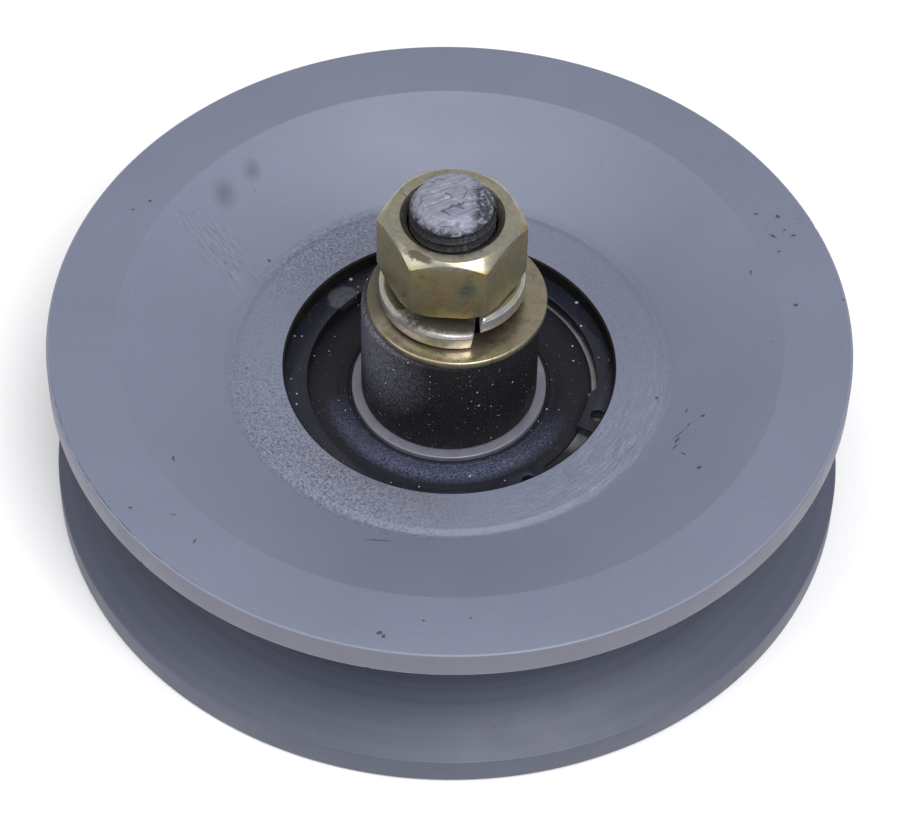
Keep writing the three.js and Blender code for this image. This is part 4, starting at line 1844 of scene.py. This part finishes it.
    def spring_washer(self, finishes: Finishes) -> None:
        """Spins a rounded section most of the way round, then lets it fall and slants its cut.

        Args:
            finishes: The idler's materials.
        """
        low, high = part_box("split_washer")
        inner, outer, rise = self.split_inner, self.split_outer, self.split_rise
        thick = (high.z - low.z) / MM - rise
        outline = rounded(
            [
                (inner, 0, 0.5),
                (outer, 0, 0.6),
                (outer, thick, 0.95),
                (inner, thick, 0.5),
            ],
            steps=6,
        )
        ring = Bench.drawn("spring_washer", outline, closed=True)
        bpy.ops.mesh.edge_face_add()
        sweep = 360 - self.split_angle
        bpy.ops.mesh.spin(
            steps=180, angle=math.radians(sweep), center=(0, 0, 0), axis=(0, 0, 1), use_auto_merge=False
        )
        Bench.closed_up(ring)
        mean = sum((vertex.co for vertex in ring.data.vertices), Vector()) / len(ring.data.vertices)
        Bench.moved(ring, turn=180 - math.degrees(math.atan2(mean.y, mean.x)))
        middle, half = (inner + outer) / 2, thick / 2
        for vertex in ring.data.vertices:
            angle = math.degrees(math.atan2(vertex.co.y, vertex.co.x)) % 360
            share = min(1.0, max(0.0, (angle - self.split_angle / 2) / sweep))
            radius = math.hypot(vertex.co.x, vertex.co.y) / MM
            skew = -math.tan(math.radians(self.split_skew)) * (radius - middle)
            lean = math.tan(math.radians(self.split_lean)) * (vertex.co.z / MM - half)
            weight = max(0.0, (abs(share - 0.5) - (0.5 - self.split_end)) / self.split_end) ** 2
            turn = (skew + lean) * weight / radius
            vertex.co.xy = Matrix.Rotation(turn, 2) @ vertex.co.xy
            vertex.co.z += rise * (1 - share) * MM
        shift = (low.x + high.x) / 2 / MM
        Bench.moved(ring, (shift, 0, low.z / MM), self.split_direction)
        Bench.eased(ring, 0.22, 2, 50)
        ring.data.materials.append(finishes.bright)
        ring.data.materials.append(finishes.sheared)
        for face in ring.data.polygons:
            round_way = Vector((-face.center.y, face.center.x, 0)).normalized()
            face.material_index = int(abs(face.normal.dot(round_way)) > 0.75)
        Bench.smooth(ring, 30)
        finish_piece(ring, finishes.bright, Body.AXLE, "split_washer")

    def nut(self, finishes: Finishes) -> None:
        """Rounds a hexagon's upright edges, turns both chamfers, then bores and countersinks it.

        Args:
            finishes: The idler's materials.
        """
        low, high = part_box("hex_nut")
        height = (high.z - low.z) / MM
        corner = self.nut_flats / math.cos(math.pi / 6)
        bpy.ops.object.select_all(action="DESELECT")
        bpy.ops.mesh.primitive_cylinder_add(vertices=6, radius=corner * MM, depth=height * MM)
        nut = Bench.name_active("nut")
        bpy.ops.object.mode_set(mode="EDIT")
        bpy.ops.mesh.select_mode(type="EDGE")
        bpy.ops.mesh.select_all(action="DESELECT")
        bpy.ops.object.mode_set(mode="OBJECT")
        for edge in nut.data.edges:
            ends = [nut.data.vertices[index].co.z for index in edge.vertices]
            edge.select = abs(ends[0] - ends[1]) > height / 2 * MM
        bpy.ops.object.mode_set(mode="EDIT")
        bpy.ops.mesh.bevel(offset=self.nut_rounding * MM, segments=5, affect="EDGES")
        bpy.ops.mesh.select_mode(type="VERT")
        Bench.closed_up(nut)
        Bench.moved(nut, (0, 0, height / 2))
        face = self.nut_face
        slope = math.tan(math.radians(self.nut_chamfer))
        wide = corner + 0.05
        rise, drop = (wide - self.nut_foot) * slope, (wide - face) * slope
        envelope = [
            (0, 0),
            (self.nut_foot, 0),
            (wide, rise),
            (wide, height - drop),
            (face, height),
            (0, height),
        ]
        Bench.combine(nut, Bench.turned("envelope", envelope, closed=False), Mould.KEEP)
        bore, sink = self.nut_bore, self.nut_sink
        core = [
            (0, -1),
            (bore + sink + 1, -1),
            (bore, sink),
            (bore, height - sink),
            (bore + sink + 1, height + 1),
            (0, height + 1),
        ]
        Bench.combine(nut, Bench.turned("core", core, closed=False), Mould.CUT)
        Bench.eased(nut, 0.22, 3, 24)
        Bench.moved(nut, (0, 0, low.z / MM), self.nut_facing + 60)
        Bench.smooth(nut, 25)
        finish_piece(nut, finishes.nut, Body.AXLE, "hex_nut")


# ---- studio ----


@dataclass(frozen=True)
class Softbox:
    """A square area light that faces the object, by azimuth, elevation and distance in metres."""

    name: str
    azimuth: float
    elevation: float
    distance: float
    size: float
    power: float

    def hang(self, target: Vector) -> None:
        """Adds the light.

        Args:
            target: The point that it faces.
        """
        data = bpy.data.lights.new(self.name, "AREA")
        data.shape = "SQUARE"
        data.size = self.size
        data.energy = self.power
        lamp = bpy.data.objects.new(self.name, data)
        bpy.context.scene.collection.objects.link(lamp)
        azimuth, elevation = math.radians(self.azimuth), math.radians(self.elevation)
        level = math.cos(elevation)
        away = Vector((math.sin(azimuth) * level, -math.cos(azimuth) * level, math.sin(elevation)))
        lamp.location = target + away * self.distance
        lamp.rotation_mode = "QUATERNION"
        lamp.rotation_quaternion = (-away).to_track_quat("-Z", "Y")


@dataclass
class Studio:
    """Camera, pale floor, softboxes and a pale room. Place and aim are from the upper rim's middle."""

    lens: float = 140.09
    roll: float = 1.307
    place: Corner = (0.0, -0.42837, 0.49182)
    aim: Corner = (0.000317, -0.02033, 0.0)
    room_light: float = 0.55
    floor_colour: Colour = (0.86, 0.86, 0.87)
    floor_size: float = 6.0
    floor_height: float = -0.0002
    lit: Corner = (0.0, 0.0, 0.03)
    boxes: tuple[Softbox, ...] = (
        Softbox("key", 28, 57, 1.4, 0.8, 15.0),
        Softbox("fill", -62, 38, 1.6, 1.0, 6.0),
        Softbox("top", 0, 88, 1.5, 1.0, 6.0),
    )

    def build(self) -> None:
        """Adds everything that isn't the object."""
        self.camera()
        self.floor()
        world = bpy.data.worlds.new("pale_room")
        world.use_nodes = True
        background = world.node_tree.nodes["Background"]
        background.inputs["Color"].default_value = (1, 1, 1, 1)
        background.inputs["Strength"].default_value = self.room_light
        bpy.context.scene.world = world
        bpy.context.scene.view_settings.view_transform = "Standard"
        for box in self.boxes:
            box.hang(Vector(self.lit))

    def camera(self) -> None:
        """Sets the camera from its place, its aim and a slight roll."""
        data = bpy.data.cameras.new("camera")
        data.lens = self.lens
        data.sensor_width = 36
        data.clip_start, data.clip_end = 0.05, 20
        camera = bpy.data.objects.new("camera", data)
        bpy.context.scene.collection.objects.link(camera)
        rim = Vector((0, 0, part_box("pulley_body")[1].z))
        place, aim = rim + Vector(self.place), rim + Vector(self.aim)
        camera.location = place
        camera.rotation_mode = "QUATERNION"
        level = (aim - place).to_track_quat("-Z", "Y")
        camera.rotation_quaternion = level @ Matrix.Rotation(math.radians(self.roll), 3, "Z").to_quaternion()
        bpy.context.scene.camera = camera

    def floor(self) -> None:
        """Adds a wide pale floor under the lower rim."""
        bpy.ops.object.select_all(action="DESELECT")
        bpy.ops.mesh.primitive_plane_add(size=self.floor_size, location=(0, 0, self.floor_height))
        floor = Bench.name_active("floor")
        desk = Desk("pale_floor")
        floor.data.materials.append(desk.surface(self.floor_colour, 0.6))


def main() -> None:
    """Builds the idler and its studio."""
    logging.basicConfig(level=logging.INFO, format="%(name)s: %(message)s")
    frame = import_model()
    Studio().build()
    finishes = Finishes()
    Pulley().build(finishes)
    RetainingRing().build(finishes)
    Bearing().build(finishes)
    AxleStack().build(finishes)
    for name, node in frame["nodes"].items():
        if not node.hide_render:
            node.data.materials.clear()
            node.data.materials.append(finishes.pressed)
            LOG.info("%s keeps its CAD shape", name)


if __name__ == "__main__":
    main()
